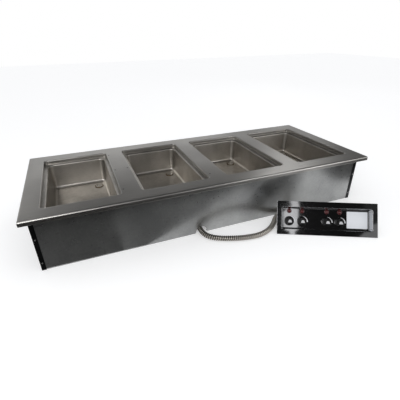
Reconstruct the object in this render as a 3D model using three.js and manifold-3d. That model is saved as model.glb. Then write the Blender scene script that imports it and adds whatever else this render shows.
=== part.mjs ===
// Drop-in hot food well: four heated wells in one deck, with a remote control panel on a flexible conduit.
// Lengths are millimetres. +Z is up, +X runs along the deck and -Y is the side that the server stands at.
// The origin is the centre of the deck's top face, on the web between the two middle wells.
import * as THREE from 'three';
import { mergeVertices } from 'three/addons/utils/BufferGeometryUtils.js';
import Module from 'manifold-3d';

const wasm = await Module();
wasm.setup();

// General
const unitHeight = 248;
const seatGap = 0.3;
const cutOverrun = 2;
const weldTolerance = 0.0005;

// Deck
const deckEndBorder = 70.5;
const deckSideBorder = 77;
const deckSheet = 1.5;
const deckCornerRadius = 4;
const deckEdgeRadius = 7;
const deckRimHeight = 20;
const deckRimReturn = 14;

// Openings in the deck, each with a turned-down collar
const wellCount = 4;
const wellWeb = 83;
const openingWidth = 298;
const openingDepth = 502;
const openingCornerRadius = 16;
const openingEdgeRadius = 4;
const collarHeight = 17;

// Drawn wells
const wellSheet = 1.2;
const wellDepth = 142;
const wellRimWidth = 12;
const ledgeWidth = 8;
const shoulderRadius = 8;
const wallTaper = 6;
const wellCornerRadius = 25;
const floorRadius = 13;

// Drains, near the back right corner of each well floor
const drainRightInset = 64;
const drainBackInset = 83;
const drainBoreRadius = 13;
const drainTailWall = 3.7;
const drainTailHeight = 8;
const drainFlangeWidth = 5.3;
const drainFlangeHeight = 2.4;
const drainFlangeChamfer = 1;
const drainNutWidth = 6.3;
const drainNutHeight = 7;
const strainerSeat = 4;
const strainerSheet = 1;
const strainerHoleRadius = 2.4;
const strainerHoleInset = 7.5;
const strainerHoleCount = 8;

// Heating elements and their covers
const coverSideInset = 51;
const coverFrontInset = 55;
const coverDrainGap = 36;
const coverSheet = 1;
const coverCornerRadius = 18;
const coverLeadClearance = 6;
const elementRodRadius = 4;
const elementLegCount = 4;
const elementSideInset = 22;
const elementFrontInset = 18;
const elementBackInset = 20;
const elementTerminalDrop = 26;

// Housing
const housingEndInset = 24;
const housingSideInset = 40;
const housingSheet = 1.2;
const housingFlange = 15;
const endFlange = 17;
const notchOffset = 5;
const notchHalfWidth = 28;
const notchHeight = 32;
const bottomPanHeight = 38;
const bottomPanRim = 22;
const bottomPanHoleClearance = 2.3;
const insulationThickness = 25;
const insulationTopClearance = 2;
const insulationCornerRadius = 9;

// Junction box under the bottom pan
const junctionOffset = -8;
const junctionWidth = 110;
const junctionSetback = 86.5;
const junctionDepth = 76;
const junctionSheet = 1.2;
const junctionFloorClearance = 3;
const wiringHoleRadius = 12;
const terminalLength = 58;
const terminalWidth = 20;
const terminalHeight = 15;
const terminalSlotWidth = 5;
const terminalSlotDepth = 5;
const terminalSlotCount = 5;

// Flexible conduit and its connectors
const conduitX = -104;
const conduitExitHeight = 19.5;
const conduitCrestRadius = 12;
const conduitValleyRadius = 10.6;
const conduitBoreRadius = 7;
const conduitRibPitch = 9;
const ribCrestShare = 0.25;
const ribValleyShare = 0.75;
const ribsPerBoreRing = 3;
const conduitSides = 10;
const connectorBoreRadius = 8;
const connectorNippleRadius = 10.8;
const connectorNippleLength = 10;
const connectorHoleClearance = 0.4;
const connectorShoulderRadius = 14.6;
const connectorShoulderLength = 6;
const connectorBodyRadius = 13;
const connectorCollarRadius = 14.6;
const connectorCollarLength = 15;
const connectorLength = 28;
const locknutOuterRadius = 15.5;
const locknutHeight = 4;
const elbowReach = 32;
const elbowBendRadius = 18;

// Control panel: a bezel with a recessed face, standing on its lower edge and leaning back
const panelX = 206.1;
const panelY = -434.5;
const panelYaw = THREE.MathUtils.degToRad(-26.95);
const bezelSheet = 1.2;
const bezelCornerRadius = 2.5;
const bezelHemDepth = 6;
const bezelHemReturn = 7;
const bezelSideBorder = 22;
const bezelLowerBorder = 26;
const bezelUpperBorder = 27;
const recessDepth = 30;
const recessTaper = 5;
const recessCornerRadius = 7;
const recessEdgeRadius = 2;
const boxLowerOffset = 40;
const boxUpperOffset = 32;
const boxSideOffset = 34;
const boxWiringSpace = 4;
const boxSheet = 1.2;
const elbowSideInset = 94;
const elbowUpperInset = 31;

// Controls on the recessed face
const firstKnobX = 60;
const knobSpacing = 57;
const knobPairSpacing = 167;
const knobRise = 36;
const lampRise = 46;
const lampUpperGap = 16;
const labelKnobGap = 32;
const labelSideInset = 31.5;
const labelWidth = 90.5;
const labelEndGap = 11;
const labelThickness = 0.8;
const labelCornerRadius = 2;
const knobSkirtRadius = 21.5;
const knobSkirtHeight = 3.5;
const knobSkirtWallShare = 0.6;
const knobHubRadius = 18.5;
const knobHubTopRadius = 16.5;
const knobHubHeight = 10;
const knobGripHeight = 20;
const knobGripWidth = 26;
const knobGripTipWidth = 14;
const knobGripLength = 31;
const knobGripDraftShare = 0.9;
const knobClearance = 2.5;
const knobSocketDepth = 13;
const knobHollowRadius = 12;
const knobHollowDepth = 2.5;
const shaftRadius = 3;
const shaftFlat = 0.8;
const shaftDepth = 12;
const shaftFit = 0.3;
const bushingRadius = 4.8;
const bushingHeight = 3.5;
const bushingFit = 0.4;
const switchSize = 40;
const switchCornerRadius = 4;
const switchDepth = 25;
const bladeWidth = 6.3;
const bladeThickness = 0.9;
const bladeLength = 7;
const bladeSpread = 12;
const lampLensRadius = 9;
const lampLensHeight = 5;
const lampRingWidth = 0.8;
const lampRingHeight = 1.6;
const lampBodyRadius = 7.6;
const lampBodyDepth = 20;
const lampFit = 0.3;

// Faces per round
const deckCornerSteps = 3;
const wellCornerSteps = 3;
const boxCornerSteps = 1;
const arcSteps = 2;
const wellArcSteps = 3;
const bendSteps = 3;
const roundSegments = 16;
const smallSegments = 12;
const holeSegments = 6;
const hexSides = 6;
const rodSides = 6;

// Values that follow from the sizes above
const wellPitch = openingWidth + wellWeb;
const deckLength = wellCount * wellPitch - wellWeb + 2 * deckEndBorder;
const deckWidth = openingDepth + 2 * deckSideBorder;
const drainX = openingWidth / 2 - drainRightInset;
const drainY = openingDepth / 2 - drainBackInset;
const drainTailRadius = drainBoreRadius + drainTailWall;
const drainFlangeRadius = drainTailRadius + drainFlangeWidth;
const strainerRadius = drainBoreRadius + strainerSeat;
const coverWidth = openingWidth - 2 * coverSideInset;
const coverFront = coverFrontInset - openingDepth / 2;
const coverBack = drainY - coverDrainGap;
const elementFront = coverFront + elementFrontInset;
const elementBack = coverBack - elementBackInset;
const elementSpan = coverWidth - 2 * elementSideInset - 2 * elementRodRadius;
const elementLegSpacing = elementSpan / (elementLegCount - 1);
const floorTop = unitHeight - wellDepth;
const floorBottom = floorTop - wellSheet;
const wallInset = ledgeWidth + shoulderRadius;
const bodyLength = deckLength - 2 * housingEndInset;
const bodyWidth = deckWidth - 2 * housingSideInset;
const housingTop = unitHeight - deckSheet - seatGap;
const sideOuter = bodyWidth / 2 - housingSheet - seatGap;
const panHalfWidth = sideOuter - housingSheet - seatGap;
const panHalfLength = bodyLength / 2 - housingSheet - seatGap;
const panTop = bottomPanHeight + housingSheet;
const junctionTop = bottomPanHeight - seatGap;
const junctionX = conduitX + junctionOffset;
const junctionFront = junctionSetback - sideOuter;
const notchX = conduitX + notchOffset;
const connectorHoleRadius = connectorNippleRadius + connectorHoleClearance;
const knobPlaces = [0, knobPairSpacing].flatMap(
  (pair) => [firstKnobX + pair, firstKnobX + pair + knobSpacing],
);
const lastKnobX = knobPlaces[knobPlaces.length - 1];
const labelX = lastKnobX + labelKnobGap + labelWidth / 2;
const bezelWidth = labelX + labelWidth / 2 + labelSideInset;
const knobY = bezelLowerBorder + knobRise;
const lampY = knobY + lampRise;
const bezelHeight = lampY + lampUpperGap + bezelUpperBorder;
const recessWidth = bezelWidth - 2 * bezelSideBorder;
const recessHeight = bezelHeight - bezelLowerBorder - bezelUpperBorder;
const recessCentreY = bezelLowerBorder + recessHeight / 2;
const labelHeight = recessHeight - 2 * labelEndGap;
const lampRingRadius = lampLensRadius + lampRingWidth;
const boxDepth = switchDepth + bladeLength + boxWiringSpace;
const faceBack = -recessDepth - bezelSheet;
const boxBack = faceBack - boxDepth;
const boxWidth = bezelWidth - 2 * boxSideOffset;
const boxHeight = bezelHeight - boxLowerOffset - boxUpperOffset;
const boxCentreY = boxLowerOffset + boxHeight / 2;
const elbowX = bezelWidth - boxSideOffset - elbowSideInset;
const elbowY = bezelHeight - boxUpperOffset - elbowUpperInset;
const panelLean = Math.atan2(boxLowerOffset, -boxBack - bezelHemDepth);
const panelLift = bezelHemDepth * Math.sin(panelLean);

// Meshes from rings and faces

class Skin {
  constructor() {
    this.corners = [];
  }

  triangle(a, b, c) {
    this.corners.push(a.x, a.y, a.z, b.x, b.y, b.z, c.x, c.y, c.z);
  }

  band(first, second) {
    const count = first.length;
    for (let i = 0; i < count; i += 1) {
      const next = (i + 1) % count;
      this.triangle(first[i], second[i], second[next]);
      this.triangle(first[i], second[next], first[next]);
    }
  }

  bands(rings) {
    for (let i = 0; i + 1 < rings.length; i += 1) this.band(rings[i], rings[i + 1]);
  }

  face(outline, holes, upwards) {
    const all = [outline, ...holes].flat();
    const flat = (ring) => ring.map((p) => new THREE.Vector2(p.x, p.y));
    for (const corners of THREE.ShapeUtils.triangulateShape(flat(outline), holes.map(flat))) {
      const [a, b, c] = corners.map((i) => all[i]);
      const normal = (b.x - a.x) * (c.y - a.y) - (b.y - a.y) * (c.x - a.x);
      if (normal > 0 === upwards) this.triangle(a, b, c);
      else this.triangle(a, c, b);
    }
  }

  geometry() {
    const geometry = new THREE.BufferGeometry();
    geometry.setAttribute('position', new THREE.Float32BufferAttribute(this.corners, 3));
    return weld(geometry);
  }
}

// One closed body: equal corners merged, flat slivers dropped, faces pointing out
function weld(source) {
  const bare = new THREE.BufferGeometry();
  bare.setAttribute('position', source.getAttribute('position').clone());
  if (source.index) bare.setIndex(source.index.clone());
  const merged = mergeVertices(bare, weldTolerance);
  const position = merged.getAttribute('position');
  const corner = (i) => new THREE.Vector3().fromBufferAttribute(position, i);
  const kept = [];
  let volume = 0;
  for (let i = 0; i < merged.index.count; i += 3) {
    const [a, b, c] = [0, 1, 2].map((k) => merged.index.getX(i + k));
    if (a === b || b === c || c === a) continue;
    kept.push(a, b, c);
    volume += corner(a).dot(corner(b).cross(corner(c)));
  }
  if (volume < 0) kept.reverse();
  merged.setIndex(kept);
  return merged;
}

function toSolid(geometry) {
  const welded = weld(geometry);
  return new wasm.Manifold(new wasm.Mesh({
    numProp: 3,
    vertProperties: new Float32Array(welded.getAttribute('position').array),
    triVerts: new Uint32Array(welded.index.array),
  }));
}

function toGeometry(solid) {
  const mesh = solid.getMesh();
  const geometry = new THREE.BufferGeometry();
  geometry.setAttribute('position', new THREE.Float32BufferAttribute(mesh.vertProperties, 3));
  geometry.setIndex([...mesh.triVerts]);
  return geometry;
}

function cut(geometry, tools) {
  return toGeometry(tools.reduce((solid, tool) => solid.subtract(toSolid(tool)), toSolid(geometry)));
}

function join(geometries) {
  return toGeometry(geometries.map(toSolid).reduce((solid, next) => solid.add(next)));
}

// A rounded rectangle round a centre, at one height, counter-clockwise seen from above
function roundedRing(width, depth, radius, z, steps, x = 0, y = 0) {
  const ring = [];
  const turns = [[1, -1], [1, 1], [-1, 1], [-1, -1]];
  turns.forEach(([sx, sy], quarter) => {
    for (let i = 0; i <= steps; i += 1) {
      const angle = (quarter - 1 + i / steps) * Math.PI / 2;
      ring.push(new THREE.Vector3(
        x + sx * (width / 2 - radius) + radius * Math.cos(angle),
        y + sy * (depth / 2 - radius) + radius * Math.sin(angle),
        z,
      ));
    }
  });
  return ring;
}

function roundedPlate(width, depth, radius, bottom, top, steps, x = 0, y = 0) {
  const skin = new Skin();
  const upper = roundedRing(width, depth, radius, top, steps, x, y);
  const lower = roundedRing(width, depth, radius, bottom, steps, x, y);
  skin.face(upper, [], true);
  skin.band(upper, lower);
  skin.face(lower, [], false);
  return skin.geometry();
}

// An open tray: rings run from the middle of the inner floor over the rim to the middle of the outer floor
function trayFromRings(rings) {
  const skin = new Skin();
  skin.face(rings[0], [], true);
  skin.bands(rings);
  skin.face(rings.at(-1), [], false);
  return skin.geometry();
}

function cylinder(radius, bottom, top, x, y, segments) {
  const geometry = new THREE.CylinderGeometry(radius, radius, top - bottom, segments);
  geometry.rotateX(Math.PI / 2);
  geometry.translate(x, y, (bottom + top) / 2);
  return geometry;
}

function block(width, depth, height, x, y, z) {
  const geometry = new THREE.BoxGeometry(width, depth, height);
  geometry.translate(x, y, z + height / 2);
  return geometry;
}

// A profile of [radius, height] pairs turned about the Z axis
function revolve(profile, segments) {
  const geometry = new THREE.LatheGeometry(profile.map(([r, h]) => new THREE.Vector2(r, h)), segments);
  geometry.rotateX(Math.PI / 2);
  return weld(geometry);
}

function closedProfile(points) {
  return [...points, points[0]];
}

function quarterTurn(steps) {
  return Array.from({ length: steps + 1 }, (_, i) => i / steps * Math.PI / 2);
}

function circle(radius, sides, x = 0, y = 0) {
  return Array.from({ length: sides }, (_, i) => {
    const angle = i / sides * Math.PI * 2;
    return new THREE.Vector3(x + radius * Math.cos(angle), y + radius * Math.sin(angle), 0);
  });
}

// A flat plate between two heights, with holes right through it
function piercedPlate(outline, holes, bottom, top) {
  const at = (ring, z) => ring.map((p) => new THREE.Vector3(p.x, p.y, z));
  const skin = new Skin();
  for (const z of [top, bottom]) skin.face(at(outline, z), holes.map((hole) => at(hole, z)), z === top);
  skin.band(at(outline, top), at(outline, bottom));
  for (const hole of holes) skin.band(at(hole, bottom), at(hole, top));
  return skin.geometry();
}

function hexNut(acrossFlats, boreRadius, bottom, height) {
  const outline = circle(acrossFlats / Math.sqrt(3), hexSides);
  return piercedPlate(outline, [circle(boreRadius, roundSegments)], bottom, bottom + height);
}

// Rings of a tube: each station is [centre, direction, radius]
function tubeRings(stations, sides) {
  const up = new THREE.Vector3(0, 0, 1);
  return stations.map(([centre, direction, radius]) => {
    const side = direction.clone().cross(up).normalize();
    const over = side.clone().cross(direction).normalize();
    return Array.from({ length: sides }, (_, i) => {
      const angle = (i + 0.5) * Math.PI * 2 / sides;
      return centre.clone()
        .addScaledVector(side, radius * Math.cos(angle))
        .addScaledVector(over, radius * Math.sin(angle));
    });
  });
}

// A hollow tube: the outer stations out, across the far end, and the bore's stations back
function hollowTube(outerStations, boreStations, sides) {
  const outer = tubeRings(outerStations, sides);
  const bore = tubeRings(boreStations, sides).reverse();
  const skin = new Skin();
  skin.bands([...outer, ...bore, outer[0]]);
  return skin.geometry();
}

// Pieces

const group = new THREE.Group();
const unit = new THREE.Group();
unit.position.z = -unitHeight;
group.add(unit);

const finishes = {
  deckSteel: new THREE.MeshStandardMaterial({ color: 0x8f9192, roughness: 0.36, metalness: 1 }),
  wellSteel: new THREE.MeshStandardMaterial({ color: 0x9a9891, roughness: 0.42, metalness: 1 }),
  galvanised: new THREE.MeshStandardMaterial({ color: 0x83878a, roughness: 0.48, metalness: 1 }),
  mirrorSteel: new THREE.MeshStandardMaterial({ color: 0x77797c, roughness: 0.08, metalness: 1 }),
  sheath: new THREE.MeshStandardMaterial({ color: 0x6f6f6c, roughness: 0.5, metalness: 0.9 }),
  brass: new THREE.MeshStandardMaterial({ color: 0xb08d4a, roughness: 0.35, metalness: 1 }),
  phenolic: new THREE.MeshStandardMaterial({ color: 0x111112, roughness: 0.35, metalness: 0 }),
  switchCase: new THREE.MeshStandardMaterial({ color: 0x2a2623, roughness: 0.6, metalness: 0 }),
  shaftSteel: new THREE.MeshStandardMaterial({ color: 0xb5b5b2, roughness: 0.3, metalness: 1 }),
  redLens: new THREE.MeshStandardMaterial({ color: 0x5a0f10, roughness: 0.15, metalness: 0 }),
  labelFilm: new THREE.MeshStandardMaterial({ color: 0xe6e7ea, roughness: 0.5, metalness: 0 }),
  wool: new THREE.MeshStandardMaterial({ color: 0xd8c77a, roughness: 0.95, metalness: 0 }),
};

function place(parent, name, geometry, material) {
  const mesh = new THREE.Mesh(weld(geometry), material);
  mesh.name = name;
  parent.add(mesh);
  return mesh;
}

const wellCentres = Array.from({ length: wellCount }, (_, i) => (i - (wellCount - 1) / 2) * wellPitch);

// The deck: a sheet with a rounded, turned-down rim and a collar turned down at each opening
function deckGeometry() {
  const outerRing = (inset, z) => roundedRing(
    deckLength - 2 * inset, deckWidth - 2 * inset, Math.max(deckCornerRadius - inset, deckSheet), z,
    deckCornerSteps,
  );
  const rimBottom = unitHeight - deckRimHeight;
  const edge = (radius, angle) => outerRing(
    deckEdgeRadius - radius * Math.sin(angle), unitHeight - deckEdgeRadius + radius * Math.cos(angle),
  );
  const angles = quarterTurn(arcSteps);
  const outside = angles.map((angle) => edge(deckEdgeRadius, angle));
  const inside = angles.map((angle) => edge(deckEdgeRadius - deckSheet, angle)).reverse();
  const rim = [
    outerRing(0, rimBottom),
    outerRing(deckRimReturn, rimBottom),
    outerRing(deckRimReturn, rimBottom + deckSheet),
    outerRing(deckSheet, rimBottom + deckSheet),
  ];
  const skin = new Skin();
  const rings = [...outside, ...rim, ...inside];
  skin.bands(rings);
  const topHoles = [];
  const lowerHoles = [];
  for (const x of wellCentres) {
    const collar = collarRings(x);
    skin.bands(collar);
    topHoles.push(collar[0]);
    lowerHoles.push(collar.at(-1));
  }
  skin.face(rings[0], topHoles, true);
  skin.face(rings.at(-1), lowerHoles, false);
  return skin.geometry();
}

// A collar's rings run from the top face over the edge, down the wall, round its lower edge and back up
function collarRings(x) {
  const ring = (outset, z) => roundedRing(
    openingWidth + 2 * outset, openingDepth + 2 * outset, openingCornerRadius + outset, z,
    wellCornerSteps, x,
  ).reverse();
  const bottom = unitHeight - collarHeight;
  const edge = (radius, angle) => ring(
    openingEdgeRadius - radius * Math.sin(angle), unitHeight - openingEdgeRadius + radius * Math.cos(angle),
  );
  const angles = quarterTurn(arcSteps);
  return [
    ...angles.map((angle) => edge(openingEdgeRadius, angle)),
    ring(0, bottom),
    ring(deckSheet, bottom),
    ...angles.map((angle) => edge(openingEdgeRadius - deckSheet, angle)).reverse(),
  ];
}

// A drawn well: rim under the collar, ledge, rounded shoulder, tapered wall, rounded floor edge
function wellGeometry() {
  const rimTop = unitHeight - collarHeight - seatGap;
  const ring = (inset, z, radius = wellCornerRadius + wallInset - inset) => roundedRing(
    openingWidth - 2 * inset, openingDepth - 2 * inset, radius, z, wellCornerSteps,
  );
  const angles = quarterTurn(wellArcSteps);
  const floorInset = wallInset + wallTaper;
  const floorEdge = (radius, angle) => {
    const inset = floorInset + floorRadius - radius * Math.cos(angle);
    return ring(inset, floorTop + floorRadius - radius * Math.sin(angle));
  };
  const shoulder = (radius, angle) => {
    const inset = ledgeWidth + radius * Math.sin(angle);
    return ring(inset, rimTop - shoulderRadius + radius * Math.cos(angle));
  };
  const rimRadius = openingCornerRadius + wellRimWidth;
  const inner = [
    ...angles.map((angle) => floorEdge(floorRadius, angle)).reverse(),
    ...angles.map((angle) => shoulder(shoulderRadius, angle)).reverse(),
  ];
  const outer = [
    ...angles.map((angle) => shoulder(shoulderRadius - wellSheet, angle)),
    ...angles.map((angle) => floorEdge(floorRadius + wellSheet, angle)),
  ];
  const rings = [
    ...inner,
    ring(-wellRimWidth, rimTop, rimRadius),
    ring(-wellRimWidth, rimTop - wellSheet, rimRadius),
    ...outer,
  ];
  const low = floorBottom - cutOverrun;
  const high = floorTop + cutOverrun;
  const hole = cylinder(drainTailRadius + seatGap, low, high, drainX, drainY, roundSegments);
  return cut(trayFromRings(rings), [hole]);
}

function drainBodyGeometry() {
  const flangeBottom = floorTop + seatGap;
  const flangeTop = flangeBottom + drainFlangeHeight;
  const seatHeight = flangeTop - strainerSheet - seatGap;
  return revolve(closedProfile([
    [drainBoreRadius, drainTailHeight],
    [drainTailRadius, drainTailHeight],
    [drainTailRadius, flangeBottom],
    [drainFlangeRadius, flangeBottom],
    [drainFlangeRadius, flangeTop - drainFlangeChamfer],
    [drainFlangeRadius - drainFlangeChamfer, flangeTop],
    [strainerRadius + seatGap, flangeTop],
    [strainerRadius + seatGap, seatHeight],
    [drainBoreRadius, seatHeight],
  ]), roundSegments);
}

function strainerGeometry() {
  const holes = Array.from({ length: strainerHoleCount }, (_, i) => {
    const angle = i * Math.PI * 2 / strainerHoleCount;
    const x = (strainerRadius - strainerHoleInset) * Math.cos(angle);
    const y = (strainerRadius - strainerHoleInset) * Math.sin(angle);
    return circle(strainerHoleRadius, holeSegments, x, y);
  });
  const top = floorTop + drainFlangeHeight + seatGap;
  return piercedPlate(circle(strainerRadius, roundSegments), holes, top - strainerSheet, top);
}

// A sheathed rod in hairpins under the well floor, both ends turned down at the front
function elementGeometry() {
  const height = floorBottom - seatGap - elementRodRadius;
  const bend = elementLegSpacing / 2;
  const path = new THREE.CurvePath();
  const legX = (i) => i * elementLegSpacing - elementSpan / 2;
  const drop = height - elementTerminalDrop;
  const turnDown = (x) => [
    new THREE.Vector3(x, elementFront, drop),
    new THREE.Vector3(x, elementFront, height - bend / 2),
    new THREE.Vector3(x, elementFront, height),
    new THREE.Vector3(x, elementFront + bend / 2, height),
  ];
  const line = (a, b) => path.add(new THREE.LineCurve3(a, b));
  const [endA, lowA, kneeA, levelA] = turnDown(legX(0));
  line(endA, lowA);
  path.add(new THREE.QuadraticBezierCurve3(lowA, kneeA, levelA));
  let last = levelA;
  for (let i = 0; i + 1 < elementLegCount; i += 1) {
    const far = i % 2 === 0;
    const y = far ? elementBack - bend : elementFront + 2 * bend;
    const reach = far ? bend : -bend;
    const start = new THREE.Vector3(legX(i), y, height);
    const top = new THREE.Vector3((legX(i) + legX(i + 1)) / 2, y + reach, height);
    const end = new THREE.Vector3(legX(i + 1), y, height);
    line(last, start);
    path.add(new THREE.QuadraticBezierCurve3(start, new THREE.Vector3(start.x, top.y, height), top));
    path.add(new THREE.QuadraticBezierCurve3(top, new THREE.Vector3(end.x, top.y, height), end));
    last = end;
  }
  const [endB, lowB, kneeB, levelB] = turnDown(legX(elementLegCount - 1));
  line(last, levelB);
  path.add(new THREE.QuadraticBezierCurve3(levelB, kneeB, lowB));
  line(lowB, endB);
  return rodAlong(path, elementRodRadius);
}

// A solid rod along joined curves, with a ring at each end of a line and along each bend
function rodAlong(path, radius) {
  const stations = [];
  for (const curve of path.curves) {
    const steps = curve instanceof THREE.LineCurve3 ? 1 : bendSteps;
    for (let i = stations.length ? 1 : 0; i <= steps; i += 1) {
      stations.push([curve.getPoint(i / steps), curve.getTangent(i / steps)]);
    }
  }
  let side = new THREE.Vector3(1, 0, 0);
  const skin = new Skin();
  const rings = stations.map(([centre, direction]) => {
    side = side.addScaledVector(direction, -side.dot(direction)).normalize();
    const over = direction.clone().cross(side).normalize();
    return Array.from({ length: rodSides }, (_, i) => {
      const angle = i * Math.PI * 2 / rodSides;
      return centre.clone()
        .addScaledVector(side, radius * Math.cos(angle))
        .addScaledVector(over, radius * Math.sin(angle));
    });
  });
  skin.bands(rings);
  capRing(skin, rings[0], false);
  capRing(skin, rings.at(-1), true);
  return skin.geometry();
}

function capRing(skin, ring, forwards) {
  for (let i = 1; i + 1 < ring.length; i += 1) {
    if (forwards) skin.triangle(ring[0], ring[i + 1], ring[i]);
    else skin.triangle(ring[0], ring[i], ring[i + 1]);
  }
}

// The tray that holds the element up against the well floor
function elementCoverGeometry() {
  const depth = coverBack - coverFront;
  const y = (coverBack + coverFront) / 2;
  const floor = floorBottom - 2 * seatGap - 2 * elementRodRadius;
  const rim = floorBottom - seatGap;
  const ring = (inset, z) => roundedRing(
    coverWidth - 2 * inset, depth - 2 * inset, coverCornerRadius - inset, z, arcSteps, 0, y,
  );
  const tray = trayFromRings([
    ring(coverSheet, floor),
    ring(coverSheet, rim),
    ring(0, rim),
    ring(0, floor - coverSheet),
  ]);
  const leadRadius = elementRodRadius + coverLeadClearance;
  const low = floor - coverSheet - cutOverrun;
  const high = floor + cutOverrun;
  const leads = [-elementSpan / 2, elementSpan / 2].map(
    (x) => cylinder(leadRadius, low, high, x, elementFront, smallSegments),
  );
  return cut(tray, leads);
}

// Front and back panels: a wall with a flange turned in at the top and at the bottom
function sidePanelGeometry(sign) {
  const outer = sideOuter;
  const inner = outer - housingSheet;
  const lip = outer - housingFlange;
  const shape = new THREE.Shape([
    [outer, 0], [outer, housingTop], [lip, housingTop], [lip, housingTop - housingSheet],
    [inner, housingTop - housingSheet], [inner, housingSheet], [lip, housingSheet], [lip, 0],
  ].map(([y, z]) => new THREE.Vector2(sign * y, z)));
  const length = 2 * panHalfLength;
  const geometry = new THREE.ExtrudeGeometry(shape, { depth: length, bevelEnabled: false });
  geometry.translate(0, 0, -length / 2);
  geometry.rotateX(Math.PI / 2);
  geometry.rotateZ(Math.PI / 2);
  return weld(geometry);
}

function conduitNotch() {
  const shape = new THREE.Shape();
  shape.moveTo(notchHalfWidth, -cutOverrun);
  shape.lineTo(notchHalfWidth, 0);
  shape.absellipse(0, 0, notchHalfWidth, notchHeight, 0, Math.PI, false);
  shape.lineTo(-notchHalfWidth, -cutOverrun);
  const depth = housingFlange + 2 * cutOverrun;
  const options = { depth, bevelEnabled: false, curveSegments: smallSegments };
  const geometry = new THREE.ExtrudeGeometry(shape, options);
  geometry.rotateX(Math.PI / 2);
  geometry.translate(notchX, -sideOuter - cutOverrun + depth, 0);
  return geometry;
}

// End panels: a wall with flanges wrapped round onto the front and back panels
function endPanelGeometry(sign) {
  const halfWidth = bodyWidth / 2;
  const outer = bodyLength / 2;
  const inner = outer - housingSheet;
  const shape = new THREE.Shape([
    [outer, -halfWidth], [outer, halfWidth], [outer - endFlange, halfWidth],
    [outer - endFlange, halfWidth - housingSheet], [inner, halfWidth - housingSheet],
    [inner, housingSheet - halfWidth], [outer - endFlange, housingSheet - halfWidth],
    [outer - endFlange, -halfWidth],
  ].map(([x, y]) => new THREE.Vector2(sign * x, y)));
  return weld(new THREE.ExtrudeGeometry(shape, { depth: housingTop, bevelEnabled: false }));
}

function bottomPanGeometry() {
  const ring = (inset, z) => roundedRing(
    2 * (panHalfLength - inset), 2 * (panHalfWidth - inset), 2 * housingSheet - inset, z, boxCornerSteps,
  );
  const tray = trayFromRings([
    ring(housingSheet, panTop),
    ring(housingSheet, bottomPanHeight + bottomPanRim),
    ring(0, bottomPanHeight + bottomPanRim),
    ring(0, bottomPanHeight),
  ]);
  const low = bottomPanHeight - cutOverrun;
  const high = panTop + cutOverrun;
  const holeRadius = drainTailRadius + bottomPanHoleClearance;
  const holes = wellCentres.map((x) => cylinder(holeRadius, low, high, x + drainX, drainY, roundSegments));
  holes.push(cylinder(wiringHoleRadius, low, high, junctionX, junctionCentreY(), smallSegments));
  return cut(tray, holes);
}

function junctionCentreY() {
  return junctionFront + junctionDepth / 2;
}

function insulationGeometry() {
  const length = 2 * (panHalfLength - housingSheet - seatGap);
  const width = 2 * (panHalfWidth - housingSheet - seatGap);
  const bottom = panTop + seatGap;
  const top = unitHeight - collarHeight - wellSheet - insulationTopClearance;
  const ring = (inset, z) => roundedRing(
    length - 2 * inset, width - 2 * inset, insulationCornerRadius, z, boxCornerSteps,
  );
  const outer = [ring(0, top), ring(0, bottom)];
  const inner = [ring(insulationThickness, bottom), ring(insulationThickness, top)];
  const skin = new Skin();
  skin.bands([...outer, ...inner, outer[0]]);
  return skin.geometry();
}

// The junction box hangs under the bottom pan, open below, with a cover plate
function junctionBoxGeometry() {
  const y = junctionCentreY();
  const bottom = junctionFloorClearance + junctionSheet + seatGap;
  const inside = junctionTop - junctionSheet;
  const ring = (inset, z) => roundedRing(
    junctionWidth - 2 * inset, junctionDepth - 2 * inset, 2 * junctionSheet - inset, z, boxCornerSteps,
    junctionX, y,
  );
  const skin = new Skin();
  const rings = [
    ring(0, junctionTop),
    ring(0, bottom),
    ring(junctionSheet, bottom),
    ring(junctionSheet, inside),
  ];
  skin.face(rings[0], [], true);
  skin.bands(rings);
  skin.face(rings.at(-1), [], false);
  const wiring = cylinder(
    wiringHoleRadius, inside - cutOverrun, junctionTop + cutOverrun, junctionX, y, smallSegments,
  );
  const outlet = cylinder(connectorHoleRadius, -junctionSheet - cutOverrun, cutOverrun, 0, 0, smallSegments);
  outlet.rotateX(Math.PI / 2);
  outlet.translate(conduitX, junctionFront, conduitExitHeight);
  return cut(skin.geometry(), [wiring, outlet]);
}

function terminalBlockGeometry() {
  const top = junctionTop - junctionSheet - seatGap;
  const step = terminalLength / terminalSlotCount;
  const y = junctionCentreY() + junctionDepth / 4;
  const body = block(terminalLength, terminalWidth, terminalHeight, junctionX, y, top - terminalHeight);
  const slots = Array.from({ length: terminalSlotCount }, (_, i) => block(
    terminalSlotWidth, terminalWidth + 2 * cutOverrun, terminalSlotDepth + cutOverrun,
    junctionX + (i + 0.5) * step - terminalLength / 2, y, top - terminalHeight - cutOverrun,
  ));
  return cut(body, slots);
}

// A straight connector, turned about its axis: nipple, shoulder, body and clamping collar
function straightConnectorGeometry() {
  const collarStart = connectorLength - connectorCollarLength;
  return revolve(closedProfile([
    [connectorBoreRadius, -connectorNippleLength],
    [connectorNippleRadius, -connectorNippleLength],
    [connectorNippleRadius, seatGap],
    [connectorShoulderRadius, seatGap],
    [connectorShoulderRadius, connectorShoulderLength],
    [connectorBodyRadius, connectorShoulderLength],
    [connectorBodyRadius, collarStart],
    [connectorCollarRadius, collarStart],
    [connectorCollarRadius, connectorLength],
    [connectorBoreRadius, connectorLength],
  ]), roundSegments);
}

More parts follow.
